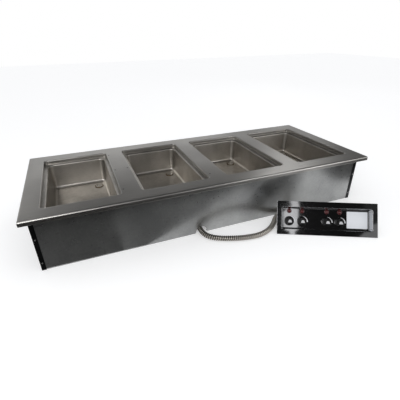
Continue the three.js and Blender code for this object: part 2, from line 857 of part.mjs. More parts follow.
// An angled connector in the XY plane: in along +Y, round a bend and out along -X
function elbowGeometry() {
  const bendStart = elbowReach - elbowBendRadius;
  const outwards = new THREE.Vector3(0, 1, 0);
  const sideways = new THREE.Vector3(-1, 0, 0);
  const along = (y, radius) => [new THREE.Vector3(0, y, 0), outwards, radius];
  const across = (x, radius) => [new THREE.Vector3(-x, elbowReach, 0), sideways, radius];
  const bend = (radius) => quarterTurn(bendSteps).map((angle) => {
    const x = elbowBendRadius * (Math.cos(angle) - 1);
    const y = bendStart + elbowBendRadius * Math.sin(angle);
    return [new THREE.Vector3(x, y, 0), new THREE.Vector3(-Math.sin(angle), Math.cos(angle), 0), radius];
  });
  const collarStart = elbowReach - connectorCollarLength / 2;
  const outer = [
    along(-connectorNippleLength, connectorNippleRadius),
    along(seatGap, connectorNippleRadius),
    along(seatGap, connectorShoulderRadius),
    along(connectorShoulderLength, connectorShoulderRadius),
    along(connectorShoulderLength, connectorBodyRadius),
    ...bend(connectorBodyRadius),
    across(collarStart, connectorBodyRadius),
    across(collarStart, connectorCollarRadius),
    across(elbowReach, connectorCollarRadius),
  ];
  const bore = [
    along(-connectorNippleLength, connectorBoreRadius),
    ...bend(connectorBoreRadius),
    across(elbowReach, connectorBoreRadius),
  ];
  return hollowTube(outer, bore, smallSegments);
}

// Control panel pieces, in the panel's own frame: X along it, Y up its face, Z out of the front,
// and the origin at the flange's lower left corner

function bezelGeometry() {
  const flange = (inset, z) => roundedRing(
    bezelWidth - 2 * inset, bezelHeight - 2 * inset, Math.max(bezelCornerRadius - inset, bezelSheet / 2),
    z, deckCornerSteps, bezelWidth / 2, bezelHeight / 2,
  );
  const recess = (inset, z) => roundedRing(
    recessWidth - 2 * inset, recessHeight - 2 * inset, recessCornerRadius, z, deckCornerSteps,
    bezelWidth / 2, recessCentreY,
  );
  const tray = trayFromRings([
    recess(recessTaper, -recessDepth),
    recess(0, -recessEdgeRadius),
    recess(-recessEdgeRadius, 0),
    flange(0, 0),
    flange(0, -bezelHemDepth),
    flange(bezelHemReturn, -bezelHemDepth),
    flange(bezelHemReturn, bezelSheet - bezelHemDepth),
    flange(bezelSheet, bezelSheet - bezelHemDepth),
    flange(bezelSheet, -bezelSheet),
    recess(-recessEdgeRadius - bezelSheet, -bezelSheet),
    recess(-bezelSheet, -recessEdgeRadius - bezelSheet),
    recess(recessTaper - bezelSheet, faceBack),
  ]);
  const low = faceBack - cutOverrun;
  const high = cutOverrun - recessDepth;
  const holes = knobPlaces.flatMap((x) => [
    cylinder(bushingRadius + bushingFit, low, high, x, knobY, smallSegments),
    cylinder(lampBodyRadius + lampFit, low, high, x, lampY, smallSegments),
  ]);
  return cut(tray, holes);
}

function controlBoxGeometry() {
  const ring = (inset, z) => roundedRing(
    boxWidth - 2 * inset, boxHeight - 2 * inset, 2 * boxSheet - inset, z, boxCornerSteps,
    bezelWidth / 2, boxCentreY,
  );
  const rim = faceBack - seatGap;
  const tray = trayFromRings([
    ring(boxSheet, boxBack + boxSheet),
    ring(boxSheet, rim),
    ring(0, rim),
    ring(0, boxBack),
  ]);
  const low = boxBack - cutOverrun;
  const high = boxBack + boxSheet + cutOverrun;
  const outlet = cylinder(connectorHoleRadius, low, high, elbowX, elbowY, smallSegments);
  return cut(tray, [outlet]);
}

// An infinite switch: moulded case with terminal blades behind and a bushing through the bezel
function switchGeometry() {
  const front = faceBack - seatGap;
  const bushingTop = bushingHeight - recessDepth;
  const boreBottom = front - shaftDepth;
  const rearFace = front - switchDepth;
  const body = roundedPlate(switchSize, switchSize, switchCornerRadius, rearFace, front, boxCornerSteps);
  const bushing = cylinder(bushingRadius, front - cutOverrun, bushingTop, 0, 0, smallSegments);
  const blades = [-bladeSpread, 0, bladeSpread].map((x) => block(
    bladeWidth, bladeThickness, bladeLength + cutOverrun, x, bladeSpread, rearFace - bladeLength,
  ));
  const bore = cylinder(shaftRadius + shaftFit, boreBottom, bushingTop + cutOverrun, 0, 0, smallSegments);
  return cut(join([body, bushing, ...blades]), [bore]);
}

function shaftGeometry() {
  const bottom = faceBack - shaftDepth;
  const top = knobClearance + knobSocketDepth - seatGap - recessDepth;
  const rod = cylinder(shaftRadius, bottom, top, 0, 0, smallSegments);
  const flatStart = bushingHeight + shaftFit - recessDepth;
  const flatY = shaftRadius - shaftFlat + shaftRadius / 2;
  const flatHeight = top - flatStart + cutOverrun;
  const flat = block(2 * shaftRadius + cutOverrun, shaftRadius, flatHeight, 0, flatY, flatStart);
  return cut(rod, [flat]);
}

// A knob: skirt, drafted hub and a grip bar that narrows to its pointer end
function knobGeometry() {
  const base = knobClearance - recessDepth;
  const wallHeight = knobSkirtHeight * knobSkirtWallShare;
  const hub = revolve([
    [0, base],
    [knobSkirtRadius, base],
    [knobSkirtRadius, base + wallHeight],
    [knobSkirtRadius - knobSkirtHeight + wallHeight, base + knobSkirtHeight],
    [knobHubRadius, base + knobSkirtHeight],
    [knobHubTopRadius, base + knobHubHeight],
    [0, base + knobHubHeight],
  ], roundSegments);
  const outline = (share, z) => [
    [-knobGripWidth, -knobGripLength], [knobGripWidth, -knobGripLength],
    [knobGripTipWidth, knobGripLength], [-knobGripTipWidth, knobGripLength],
  ].map(([x, y]) => new THREE.Vector3(x * share / 2, y * share / 2, z));
  const upper = outline(knobGripDraftShare, base + knobGripHeight);
  const lower = outline(1, base + knobSkirtHeight / 2);
  const skin = new Skin();
  skin.face(upper, [], true);
  skin.band(upper, lower);
  skin.face(lower, [], false);
  const below = base - cutOverrun;
  const socket = cylinder(shaftRadius + shaftFit, below, base + knobSocketDepth, 0, 0, smallSegments);
  const hollow = cylinder(knobHollowRadius, below, base + knobHollowDepth, 0, 0, smallSegments);
  return cut(join([hub, skin.geometry()]), [socket, hollow]);
}

function lampGeometry() {
  const front = -recessDepth + lampFit;
  const lens = quarterTurn(wellArcSteps).map((angle) => [
    lampLensRadius * Math.cos(angle), front + lampRingHeight + lampLensHeight * Math.sin(angle),
  ]);
  lens.at(-1)[0] = 0;
  return revolve([
    [0, faceBack - lampBodyDepth],
    [lampBodyRadius, faceBack - lampBodyDepth],
    [lampBodyRadius, front],
    [lampRingRadius, front],
    [lampRingRadius, front + lampRingHeight / 2],
    ...lens,
  ], smallSegments);
}

// Assembly

place(unit, 'top_deck', deckGeometry(), finishes.deckSteel);

const wellShape = wellGeometry();
const drainBodyShape = drainBodyGeometry();
const strainerShape = strainerGeometry();
const drainNutShape = hexNut(
  2 * (drainTailRadius + drainNutWidth), drainTailRadius + seatGap,
  floorBottom - seatGap - drainNutHeight, drainNutHeight,
);
const elementShape = elementGeometry();
const elementCoverShape = elementCoverGeometry();
wellCentres.forEach((x, i) => {
  const well = new THREE.Group();
  well.position.x = x;
  unit.add(well);
  const drain = new THREE.Group();
  drain.position.set(drainX, drainY, 0);
  well.add(drain);
  const number = i + 1;
  place(well, `well_pan_${number}`, wellShape, finishes.wellSteel);
  place(well, `heating_element_${number}`, elementShape, finishes.sheath);
  place(well, `element_cover_${number}`, elementCoverShape, finishes.galvanised);
  place(drain, `drain_body_${number}`, drainBodyShape, finishes.brass);
  place(drain, `drain_strainer_${number}`, strainerShape, finishes.wellSteel);
  place(drain, `drain_locknut_${number}`, drainNutShape, finishes.brass);
});

place(unit, 'housing_front', cut(sidePanelGeometry(-1), [conduitNotch()]), finishes.galvanised);
place(unit, 'housing_back', sidePanelGeometry(1), finishes.galvanised);
place(unit, 'housing_left_end', endPanelGeometry(-1), finishes.galvanised);
place(unit, 'housing_right_end', endPanelGeometry(1), finishes.galvanised);
place(unit, 'bottom_pan', bottomPanGeometry(), finishes.galvanised);
place(unit, 'insulation_blanket', insulationGeometry(), finishes.wool);

place(unit, 'junction_box', junctionBoxGeometry(), finishes.galvanised);
place(unit, 'junction_cover', roundedPlate(
  junctionWidth, junctionDepth, 2 * junctionSheet,
  junctionFloorClearance, junctionFloorClearance + junctionSheet,
  boxCornerSteps, junctionX, junctionCentreY(),
), finishes.galvanised);
place(unit, 'terminal_block', terminalBlockGeometry(), finishes.switchCase);

// The straight connector's axis points out of the junction box, towards -Y
const bodyFitting = new THREE.Group();
bodyFitting.position.set(conduitX, junctionFront, conduitExitHeight);
bodyFitting.rotation.x = Math.PI / 2;
unit.add(bodyFitting);
place(bodyFitting, 'conduit_connector', straightConnectorGeometry(), finishes.galvanised);
const locknutShape = (bottom) => hexNut(
  locknutOuterRadius * Math.sqrt(3), connectorNippleRadius + seatGap, bottom, locknutHeight,
);
const bodyNutShape = locknutShape(-junctionSheet - seatGap - locknutHeight);
place(bodyFitting, 'connector_locknut', bodyNutShape, finishes.galvanised);

const panel = new THREE.Group();
panel.position.set(panelX, panelY, panelLift);
panel.rotation.set(Math.PI / 2 - panelLean, 0, panelYaw, 'ZYX');
unit.add(panel);
place(panel, 'control_bezel', bezelGeometry(), finishes.mirrorSteel);
place(panel, 'control_box', controlBoxGeometry(), finishes.galvanised);
place(panel, 'label_plate', roundedPlate(
  labelWidth, labelHeight, labelCornerRadius, seatGap - recessDepth, seatGap + labelThickness - recessDepth,
  arcSteps, labelX, recessCentreY,
), finishes.labelFilm);

const switchShape = switchGeometry();
const shaftShape = shaftGeometry();
const knobShape = knobGeometry();
const lampShape = lampGeometry();
knobPlaces.forEach((x, i) => {
  const control = new THREE.Group();
  control.position.set(x, knobY, 0);
  panel.add(control);
  const lamp = new THREE.Group();
  lamp.position.set(x, lampY, 0);
  panel.add(lamp);
  const number = i + 1;
  place(control, `infinite_switch_${number}`, switchShape, finishes.switchCase);
  place(control, `switch_shaft_${number}`, shaftShape, finishes.shaftSteel);
  place(control, `control_knob_${number}`, knobShape, finishes.phenolic);
  place(lamp, `pilot_light_${number}`, lampShape, finishes.redLens);
});

// The elbow stands on the back of the control box and lets the conduit in from the left
const boxFitting = new THREE.Group();
boxFitting.position.set(elbowX, elbowY, boxBack);
boxFitting.rotation.x = -Math.PI / 2;
panel.add(boxFitting);
place(boxFitting, 'conduit_elbow', elbowGeometry(), finishes.galvanised);
const boxNut = new THREE.Group();
boxNut.position.set(elbowX, elbowY, boxBack + boxSheet + seatGap);
panel.add(boxNut);
place(boxNut, 'elbow_locknut', locknutShape(0), finishes.galvanised);

// The conduit's route along the floor, in X, Y and height above the floor, chosen by hand
const route = [
  [-104, -254, 19.5], [-104, -279, 17.4], [-103, -304, 14.6], [-95, -332, 12.7], [-76, -357, 12.3],
  [-45, -378, 12.3], [-8, -394.5, 12.3], [32, -408, 12.3], [77, -417.5, 12.3], [122, -420, 12.3],
  [166, -410, 12.3], [204, -389.5, 12.3], [238, -362, 12.3], [266, -333, 12.3], [297.6, -312.2, 12.3],
  [336.5, -305.5, 12.3], [376.3, -315.8, 12.3], [408, -341.8, 12.4], [432.6, -373.2, 13.6],
  [455.6, -403.6, 17], [471.5, -420.2, 19.8],
];

function conduitGeometry() {
  unit.updateMatrixWorld(true);
  const toUnit = unit.matrixWorld.clone().invert();
  const elbowPoint = (reach) => new THREE.Vector3(elbowX - reach, elbowY, boxBack - elbowReach)
    .applyMatrix4(panel.matrixWorld).applyMatrix4(toUnit);
  const straightRun = 2 * conduitCrestRadius;
  const start = junctionFront - connectorLength - seatGap;
  const points = [
    new THREE.Vector3(conduitX, start, conduitExitHeight),
    ...route.map(([x, y, z]) => new THREE.Vector3(x, y, z)),
    elbowPoint(elbowReach + seatGap + straightRun),
    elbowPoint(elbowReach + seatGap),
  ];
  const curve = new THREE.CatmullRomCurve3(points, false, 'centripetal');
  const length = curve.getLength();
  const ribCount = Math.round(length / conduitRibPitch);
  const firstAxis = new THREE.Vector3(0, -1, 0);
  const lastAxis = points.at(-1).clone().sub(points.at(-2)).normalize();
  const station = (share, radius) => {
    const direction = share === 0 ? firstAxis : share === 1 ? lastAxis : curve.getTangentAt(share);
    return [curve.getPointAt(share), direction, radius];
  };
  const outer = [station(0, conduitValleyRadius)];
  for (let i = 0; i < ribCount; i += 1) {
    outer.push(station((i + ribCrestShare) / ribCount, conduitCrestRadius));
    outer.push(station((i + ribValleyShare) / ribCount, conduitValleyRadius));
  }
  outer.push(station(1, conduitValleyRadius));
  const bore = [];
  for (let i = 0; i < ribCount; i += ribsPerBoreRing) bore.push(station(i / ribCount, conduitBoreRadius));
  bore.push(station(1, conduitBoreRadius));
  return hollowTube(outer, bore, conduitSides);
}

place(unit, 'flexible_conduit', conduitGeometry(), finishes.sheath);

export default group;
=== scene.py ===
import math

import bmesh
import bpy
import numpy as np
from mathutils import Matrix, Vector


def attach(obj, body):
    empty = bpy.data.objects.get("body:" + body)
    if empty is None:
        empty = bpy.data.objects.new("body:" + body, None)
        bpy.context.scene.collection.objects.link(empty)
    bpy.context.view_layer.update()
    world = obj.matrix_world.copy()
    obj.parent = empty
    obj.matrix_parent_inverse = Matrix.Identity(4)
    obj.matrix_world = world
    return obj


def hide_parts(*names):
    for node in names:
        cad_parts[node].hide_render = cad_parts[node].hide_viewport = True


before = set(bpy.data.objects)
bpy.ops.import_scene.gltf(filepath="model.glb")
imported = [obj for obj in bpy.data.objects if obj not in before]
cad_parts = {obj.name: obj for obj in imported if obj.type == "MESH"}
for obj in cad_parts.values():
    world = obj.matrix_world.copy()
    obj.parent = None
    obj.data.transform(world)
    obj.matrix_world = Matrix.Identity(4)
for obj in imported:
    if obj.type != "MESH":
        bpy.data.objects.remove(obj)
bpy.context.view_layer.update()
print("frame loaded")

floorHeight = -0.248
mainBody = "well_unit"
wellNumbers = (1, 2, 3, 4)
rightAngle = math.pi / 2
mergeDistance = 2e-6  # points nearer than this become one
noiseSpan = (0.35, 0.65)  # most of a noise's values lie between these


# Colours and nodes


def linear(hexColour):  # an sRGB hex colour as linear red, green and blue with full alpha
    parts = np.array([int(hexColour[i:i + 2], 16) for i in (1, 3, 5)]) / 255
    parts = np.where(parts <= 0.04045, parts / 12.92, ((parts + 0.055) / 1.055) ** 2.4)
    return (*parts.tolist(), 1.0)


# One node: its kind without the word ShaderNode, its sockets or settings, and its links, each from a socket
# or from a node's first output
def addNode(tree, kind, settings=None, links=None):
    node = tree.nodes.new("ShaderNode" + kind)
    for name, value in (settings or {}).items():
        if isinstance(name, int) or name in node.inputs:
            node.inputs[name].default_value = value
        else:
            setattr(node, name, value)
    for name, source in (links or {}).items():
        socket = source if isinstance(source, bpy.types.NodeSocket) else source.outputs[0]
        tree.links.new(socket, node.inputs[name])
    return node


def twoTones(s):  # the settings of a node that mixes a dark tone with a light one
    return {"data_type": "RGBA", 6: linear(s["dark"]), 7: linear(s["light"])}


def blankMaterial(name):
    material = bpy.data.materials.new(name)
    material.use_nodes = True
    material.node_tree.nodes.clear()
    return material, material.node_tree


def finishMaterial(material, tree, shader):
    addNode(tree, "OutputMaterial", links={"Surface": shader})
    return material


# Meshes


def addObject(name, data):  # an object of the scene, at the origin
    thing = bpy.data.objects.new(name, data)
    bpy.context.collection.objects.link(thing)
    return thing


def flatSheet(name, corners, material):  # an object with one flat face over its corners
    mesh = bpy.data.meshes.new(name)
    mesh.from_pydata(corners, [], [range(len(corners))])
    mesh.materials.append(material)
    return addObject(name, mesh)


def gridPart(rings):  # closed rings (rows, columns, 3) as points, and the faces between neighbouring rings
    rows, columns = rings.shape[:2]
    row = np.arange(rows - 1)[:, None] * columns
    here = np.arange(columns)[None, :]
    after = (here + 1) % columns
    faces = np.stack([row + here, row + after, row + columns + after, row + columns + here], -1)
    return rings.reshape(-1, 3), faces.reshape(-1, 4)


def capPart(ring):  # one flat face over a ring
    return ring, np.arange(len(ring))[None, :]


def makePiece(name, parts, material, body=mainBody, standsFor=(), sharpAngle=40, flat=False):
    points = np.concatenate([part[0] for part in parts])
    faces = []
    start = 0
    for partPoints, partFaces in parts:
        faces.extend((partFaces + start).tolist())
        start += len(partPoints)
    mesh = bpy.data.meshes.new(name)
    mesh.from_pydata(points.tolist(), [], faces)
    work = bmesh.new()
    work.from_mesh(mesh)
    bmesh.ops.remove_doubles(work, verts=work.verts, dist=mergeDistance)
    bmesh.ops.recalc_face_normals(work, faces=work.faces)
    work.to_mesh(mesh)
    work.free()
    mesh.shade_smooth()
    mesh.set_sharp_from_angle(angle=math.radians(sharpAngle))
    mesh.materials.append(material)
    piece = addObject(name, mesh)
    if flat:  # broad flat faces keep their own normals beside narrow rounded ones
        weighted = piece.modifiers.new("flatFaces", "WEIGHTED_NORMAL")
        weighted.keep_sharp = True
        weighted.weight = 100
    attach(piece, body)
    if standsFor:
        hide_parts(*standsFor)
    return piece


def arc(steps):  # angles over a quarter turn
    return np.linspace(0, rightAngle, steps + 1)


def fullTurn(steps):  # angles round a full turn
    return np.linspace(0, 2 * math.pi, steps, endpoint=False)


def circle(radius, height, turn):  # points round Z: the radius along each angle, at the height
    return np.stack([radius * np.cos(turn), radius * np.sin(turn), height + 0 * turn], -1)


def sixSided(turn):  # a hexagon's reach along each angle, as a share of its corners' reach
    return math.cos(math.pi / 6) / np.cos(turn % (math.pi / 3) - math.pi / 6)


# Rounded rectangles, one for each height: a point is its corner's centre plus the radius along its angle.
# Marks add points on the long and short sides, so that a pierced plate can join the ring.
def roundedRings(width, depth, radius, height, steps, centre=(0, 0), xMarks=(), yMarks=()):
    sizes = [np.atleast_1d(value)[:, None] for value in (width, depth, radius, height)]
    width, depth, radius, height = np.broadcast_arrays(*sizes)
    turn = arc(steps)[None, :]
    x0, y0 = centre
    pieces = []
    for quarter, (sx, sy) in enumerate([(1, -1), (1, 1), (-1, 1), (-1, -1)]):
        angle = turn + (quarter - 1) * rightAngle
        x = x0 + sx * (width / 2 - radius) + radius * np.cos(angle)
        y = y0 + sy * (depth / 2 - radius) + radius * np.sin(angle)
        pieces.append(np.stack([x, y, height + 0 * x], -1))
        marks = np.sort(np.array(xMarks if quarter % 2 else yMarks, float))
        if marks.size:
            if quarter in (1, 2):
                marks = marks[::-1]
            marks = np.broadcast_to(marks, (len(width), len(marks)))
            if quarter % 2:
                x, y = marks, y0 + sy * depth / 2 + 0 * marks
            else:
                x, y = x0 + sx * width / 2 + 0 * marks, marks
            pieces.append(np.stack([x, y, height + 0 * x], -1))
    return np.concatenate(pieces, axis=1)


# A rectangle with each corner's points together: a rounded one whose radius is none
def cornerRing(low, high, height, steps, xMarks=(), yMarks=()):
    centre = ((low[0] + high[0]) / 2, (low[1] + high[1]) / 2)
    return roundedRings(high[0] - low[0], high[1] - low[1], 0, height, steps, centre, xMarks, yMarks)[0]


# A circle that looks at a ring: each point is the centre plus the radius along the way to the ring's point
def towardsRing(ring, centre, radius, height):
    away = ring[:, :2] - np.asarray(centre, float)
    away /= np.linalg.norm(away, axis=1)[:, None]
    flat = np.asarray(centre, float) + radius * away
    return np.concatenate([flat, np.full((len(flat), 1), float(height))], axis=1)


# A section carried round a rounded rectangle: each pair is an inset from the outline and a height
def aroundOutline(size, corner, section, steps, centre=(0, 0), leastCorner=0.0, xMarks=(), yMarks=()):
    inset, height = np.array(section, float).T
    radius = np.maximum(corner - inset, leastCorner)
    return roundedRings(
        size[0] - 2 * inset, size[1] - 2 * inset, radius, height, steps, centre, xMarks, yMarks,
    )


# A flat plate between two heights: one cell of the grid round each hole, and the holes' walls.
# The plate's own edge is the rectangle's ring, which the caller joins to its outline.
def piercedCells(xEdges, yEdges, holes, low, high, steps):
    parts = []
    for i, j in np.ndindex(len(xEdges) - 1, len(yEdges) - 1):
        corners = [(xEdges[i], yEdges[j]), (xEdges[i + 1], yEdges[j + 1])]
        x, y, radius = holes[i][j]
        top, bottom = [cornerRing(*corners, height, steps) for height in (high, low)]
        hole = roundedRings(2 * radius, 2 * radius, radius, [high, low], steps, (x, y))
        parts.append(gridPart(np.stack([top, hole[0], hole[1], bottom])))
    return parts


# (radius, height) pairs turned about Z; the first and last meet or are on the axis
def lathe(profile, segments):
    profile = np.array(profile, float)
    return gridPart(circle(profile[:, :1], profile[:, 1:], fullTurn(segments)))


def closedProfile(profile):  # a profile that comes back to its first point
    return [*profile, profile[0]]


def rounded(centre, radius, first, last, steps=4):  # points of an arc between two angles in degrees
    turn = np.radians(np.linspace(first, last, steps + 1))
    return list(zip(centre[0] + radius * np.cos(turn), centre[1] + radius * np.sin(turn)))


# A convex outline with rounded corners: each corner's arc is drawn about the point set in from both its
# sides by the corner radius, so a ring that is smaller by an amount has its arcs smaller by that amount
def polygonRings(corners, cornerRadius, shrink, height, steps=5):
    corners = np.array(corners, float)
    along = np.roll(corners, -1, axis=0) - corners
    along /= np.linalg.norm(along, axis=1)[:, None]
    before = np.roll(along, 1, axis=0)
    away = np.stack([along[:, 1], -along[:, 0]], -1)  # outwards from each side, for corners in left turns
    awayBefore = np.roll(away, 1, axis=0)
    turned = np.arccos(np.clip((before * along).sum(1), -1, 1))
    bisector = (away + awayBefore) / np.linalg.norm(away + awayBefore, axis=1)[:, None]
    centres = corners - bisector * (cornerRadius / np.cos(turned / 2))[:, None]
    first = np.arctan2(awayBefore[:, 1], awayBefore[:, 0])
    angle = first[:, None] + turned[:, None] * np.linspace(0, 1, steps + 1)
    shrink, height = np.broadcast_arrays(np.atleast_1d(shrink), np.atleast_1d(height))
    radius = (cornerRadius - shrink)[:, None, None]
    x = centres[:, 0][:, None] + radius * np.cos(angle)
    y = centres[:, 1][:, None] + radius * np.sin(angle)
    z = np.broadcast_to(height[:, None, None], x.shape)
    return np.stack([x, y, z], -1).reshape(len(height), -1, 3)


def place(part, matrix=None, origin=(0, 0, 0)):  # a part turned by a matrix and moved to its origin
    points, faces = part
    if matrix is not None:
        points = points @ np.asarray(matrix).T
    return points + np.asarray(origin, float), faces


# The camera, at the photograph's viewing angle

cameraSettings = {
    "place": (-0.54064, -1.37871, 0.56376), "azimuth": -21.755, "elevation": 28.644, "roll": -0.614,
    "lens": 27.98, "clipStart": 0.01,
}


def makeCamera(s):
    azimuth, elevation, roll = [math.radians(s[k]) for k in ("azimuth", "elevation", "roll")]
    level = math.cos(elevation)
    forward = Vector((-math.sin(azimuth) * level, math.cos(azimuth) * level, -math.sin(elevation)))
    side = forward.cross(Vector((0, 0, 1))).normalized()
    over = side.cross(forward)
    right = side * math.cos(roll) + over * math.sin(roll)
    up = over * math.cos(roll) - side * math.sin(roll)
    camera = addObject("camera", bpy.data.cameras.new("camera"))
    camera.matrix_world = Matrix.Translation(s["place"]) @ Matrix((right, up, -forward)).transposed().to_4x4()
    camera.data.lens = s["lens"]
    camera.data.clip_start = s["clipStart"]
    bpy.context.scene.camera = camera


makeCamera(cameraSettings)
print("camera made")

# The control panel's own frame: X along it, Y up its face, Z out of the front

panelPlace = {
    "corner": (0.2061, -0.4345), "yaw": -26.95, "hem": 0.006, "boxBack": -0.0672, "boxLower": 0.040,
}


def panelFrame(s):
    lean = math.atan2(s["boxLower"], -s["boxBack"] - s["hem"])
    turn = Matrix.Rotation(math.radians(s["yaw"]), 3, "Z") @ Matrix.Rotation(rightAngle - lean, 3, "X")
    return np.array(turn), np.array([*s["corner"], floorHeight + s["hem"] * math.sin(lean)])


panelTurn, panelOrigin = panelFrame(panelPlace)


def onPanel(parts, centre=(0, 0, 0)):  # parts made round their own centre, set at a point of the panel
    return [place(place(part, origin=centre), panelTurn, panelOrigin) for part in parts]


# The conduit, wound from one ribbed strip, on its route along the floor

conduitSettings = {
    "route": [
        [-104, -254, 19.5], [-104, -279, 17.4], [-103, -304, 14.6], [-95, -332, 12.7], [-76, -357, 12.3],
        [-45, -378, 12.3], [-8, -394.5, 12.3], [32, -408, 12.3], [77, -417.5, 12.3], [122, -420, 12.3],
        [166, -410, 12.3], [204, -389.5, 12.3], [238, -362, 12.3], [266, -333, 12.3], [297.6, -312.2, 12.3],
        [336.5, -305.5, 12.3], [376.3, -315.8, 12.3], [408, -341.8, 12.4], [432.6, -373.2, 13.6],
        [455.6, -403.6, 17], [471.5, -420.2, 19.8],
    ],
    "start": (-0.104, -0.2283, 0.0195), "elbow": (0.310, 0.088), "elbowReach": 0.032, "gap": 0.0003,
    "straight": 0.024, "crest": 0.012, "valley": 0.0099, "bore": 0.0082, "pitch": 0.009, "ribStretch": 1.8,
    "ribPower": 1.2, "ribSink": 0.3, "stepsPerRib": 10, "sides": 36,
}


# A smooth curve through points: between two of them the line is blended from three straight lines, by knots
# spaced with the square root of the chords
def smoothRoute(points, perSpan=24):
    points = np.vstack([2 * points[0] - points[1], points, 2 * points[-1] - points[-2]])
    knots = np.concatenate([[0], np.cumsum(np.linalg.norm(np.diff(points, axis=0), axis=1) ** 0.5)])
    line = []
    for i in range(1, len(points) - 2):
        t = np.linspace(knots[i], knots[i + 1], perSpan, endpoint=False)[:, None]
        p, k = points[i - 1:i + 3], knots[i - 1:i + 3]
        a = [p[j] + (p[j + 1] - p[j]) * (t - k[j]) / (k[j + 1] - k[j]) for j in range(3)]
        b = [a[j] + (a[j + 1] - a[j]) * (t - k[j]) / (k[j + 2] - k[j]) for j in range(2)]
        line.append(b[0] + (b[1] - b[0]) * (t - k[1]) / (k[2] - k[1]))
    line.append(points[-2][None, :])
    return np.concatenate(line)


def lengths(line):  # how far along the line each of its points is
    return np.concatenate([[0], np.cumsum(np.linalg.norm(np.diff(line, axis=0), axis=1))])


def evenly(line, count):  # the same line at even steps along its length
    along = lengths(line)
    at = np.linspace(0, along[-1], count)
    return np.stack([np.interp(at, along, line[:, k]) for k in range(3)], -1)


# A tube's rings: at each station two directions square to the line, and the radius along each angle
def tubeRings(line, radius, sides):
    ahead = np.gradient(line, axis=0)
    ahead /= np.linalg.norm(ahead, axis=1)[:, None]
    side = np.cross(ahead, [0, 0, 1.0])
    side /= np.linalg.norm(side, axis=1)[:, None]
    over = np.cross(side, ahead)
    turn = fullTurn(sides)
    radius = np.broadcast_to(radius, (len(line), sides))[..., None]
    across = side[:, None, :] * np.cos(turn)[None, :, None] + over[:, None, :] * np.sin(turn)[None, :, None]
    return line[:, None, :] + radius * across


# Galvanised steel strip, rolled and wound: grey zinc on the crests, and painted shade that darkens it to near
# black in the joints between the ribs. The wear's spots are about 11 mm, a rib's width and more.
stripSettings = {
    "wearScale": 90.0, "wearShare": 0.35,
    # the darkest tone is painted shade for the deep joints; the lightest is the zinc's own grey
    "tones": [(0.3, "#1d1b19"), (0.7, "#6b6762"), (1.0, "#aea9a2")],
    "rough": (0.5, 0.28),
}


# The colour follows the crest plus a share of the wear's noise, so the joints take the ramp's painted shade,
# and the roughness follows the crest
def conduitMaterial(s):
    material, tree = blankMaterial("woundGalvanisedStrip")
    objectPlace = addNode(tree, "TexCoord").outputs["Object"]
    wear = addNode(tree, "TexNoise", {"Scale": s["wearScale"], "Detail": 4.0, "Roughness": 0.6}, {
        "Vector": objectPlace,
    })
    crest = addNode(tree, "Attribute", {"attribute_name": "crest"}).outputs["Fac"]
    mixed = addNode(tree, "Math", {"operation": "MULTIPLY_ADD", 1: s["wearShare"]}, {0: wear, 2: crest})
    colour = addNode(tree, "ValToRGB", links={"Fac": mixed})
    ramp = colour.color_ramp.elements
    ramp.new(0.5)  # a third stop between the two that a ramp starts with
    for stop, (at, tone) in zip(ramp, s["tones"]):
        stop.position, stop.color = at, linear(tone)
    rough = addNode(tree, "MapRange", {"To Min": s["rough"][0], "To Max": s["rough"][1]}, {"Value": crest})
    shader = addNode(tree, "BsdfPrincipled", {"Metallic": 1.0}, {"Base Color": colour, "Roughness": rough})
    return finishMaterial(material, tree, shader)


def makeConduit(s):
    route = np.array(s["route"]) / 1000 + [0, 0, floorHeight]
    start = np.array(s["start"]) + [0, 0, floorHeight]
    end, back = s["elbow"][0] - s["elbowReach"] - s["gap"], panelPlace["boxBack"] - s["elbowReach"]
    ends = np.array([(end - more, s["elbow"][1], back) for more in (s["straight"], 0)])
    path = smoothRoute(np.vstack([start, route, ends @ panelTurn.T + panelOrigin]))
    length = lengths(path)[-1]
    ribs = round(length / s["pitch"])
    line = evenly(path, ribs * s["stepsPerRib"] + 1)
    # The strip's edge climbs one pitch in a turn, so the phase is the station's rib less the angle's share of
    # a turn. The crest is the phase's sine to a power, stretched, sunk and held between none and one: that
    # gives a rounded rib and a narrow joint. It fades out over the first and last ribs.
    station = np.arange(len(line))
    turn = np.linspace(0, 1, s["sides"], endpoint=False)[None, :]
    phase = (station[:, None] / s["stepsPerRib"] - turn) % 1
    crest = np.clip(s["ribStretch"] * np.sin(math.pi * phase) ** s["ribPower"] - s["ribSink"], 0, 1)
    endFade = np.clip(np.minimum(station, station[::-1]) / s["stepsPerRib"], 0, 1)[:, None]
    radius = s["valley"] + (s["crest"] - s["valley"]) * crest * endFade
    outer = tubeRings(line, radius, s["sides"])
    inner = tubeRings(line[::s["stepsPerRib"]], s["bore"], s["sides"])[::-1]
    rings = np.concatenate([outer, inner, outer[:1]])
    piece = makePiece(
        "ribbed_conduit", [gridPart(rings)], conduitMaterial(stripSettings),
        standsFor=("flexible_conduit",),
    )
    values = np.zeros(len(piece.data.vertices))
    values[:crest.size] = (crest * endFade).ravel()
    piece.data.attributes.new("crest", "FLOAT", "POINT").data.foreach_set("value", values)
    print("conduit made,", round(length, 3), "m long with", ribs, "turns")


makeConduit(conduitSettings)


# Sheet metals. One function for every sheet: two tones mixed by a soft cloud and by the grain, roughness
# that follows the grain, and a bump that is the sum of the grain and the sheet's slow waves. A scale is one
# over the pattern's size in metres, so 900 gives a grain 1.1 mm wide. Real brush lines, and the pebble of a
# casting or a moulding, are a tenth of that: too fine to show here, so they are drawn this coarse.


def markShare(tree, objectPlace, marks):  # one inside each mark, none outside, fading over its edge
    edge, fade = marks["radius"], marks["fade"]
    share = None
    for x, y in marks["places"]:
        away = addNode(tree, "VectorMath", {"operation": "DISTANCE", 1: (x / 1000, y / 1000, 0)}, {
            0: objectPlace,
        })
        spot = addNode(tree, "MapRange", {"From Min": edge * (1 + fade), "From Max": edge * (1 - fade)}, {
            "Value": away.outputs["Value"],
        })
        if share:
            spot = addNode(tree, "Math", {"operation": "MAXIMUM"}, {0: share, 1: spot})
        share = spot
    return share


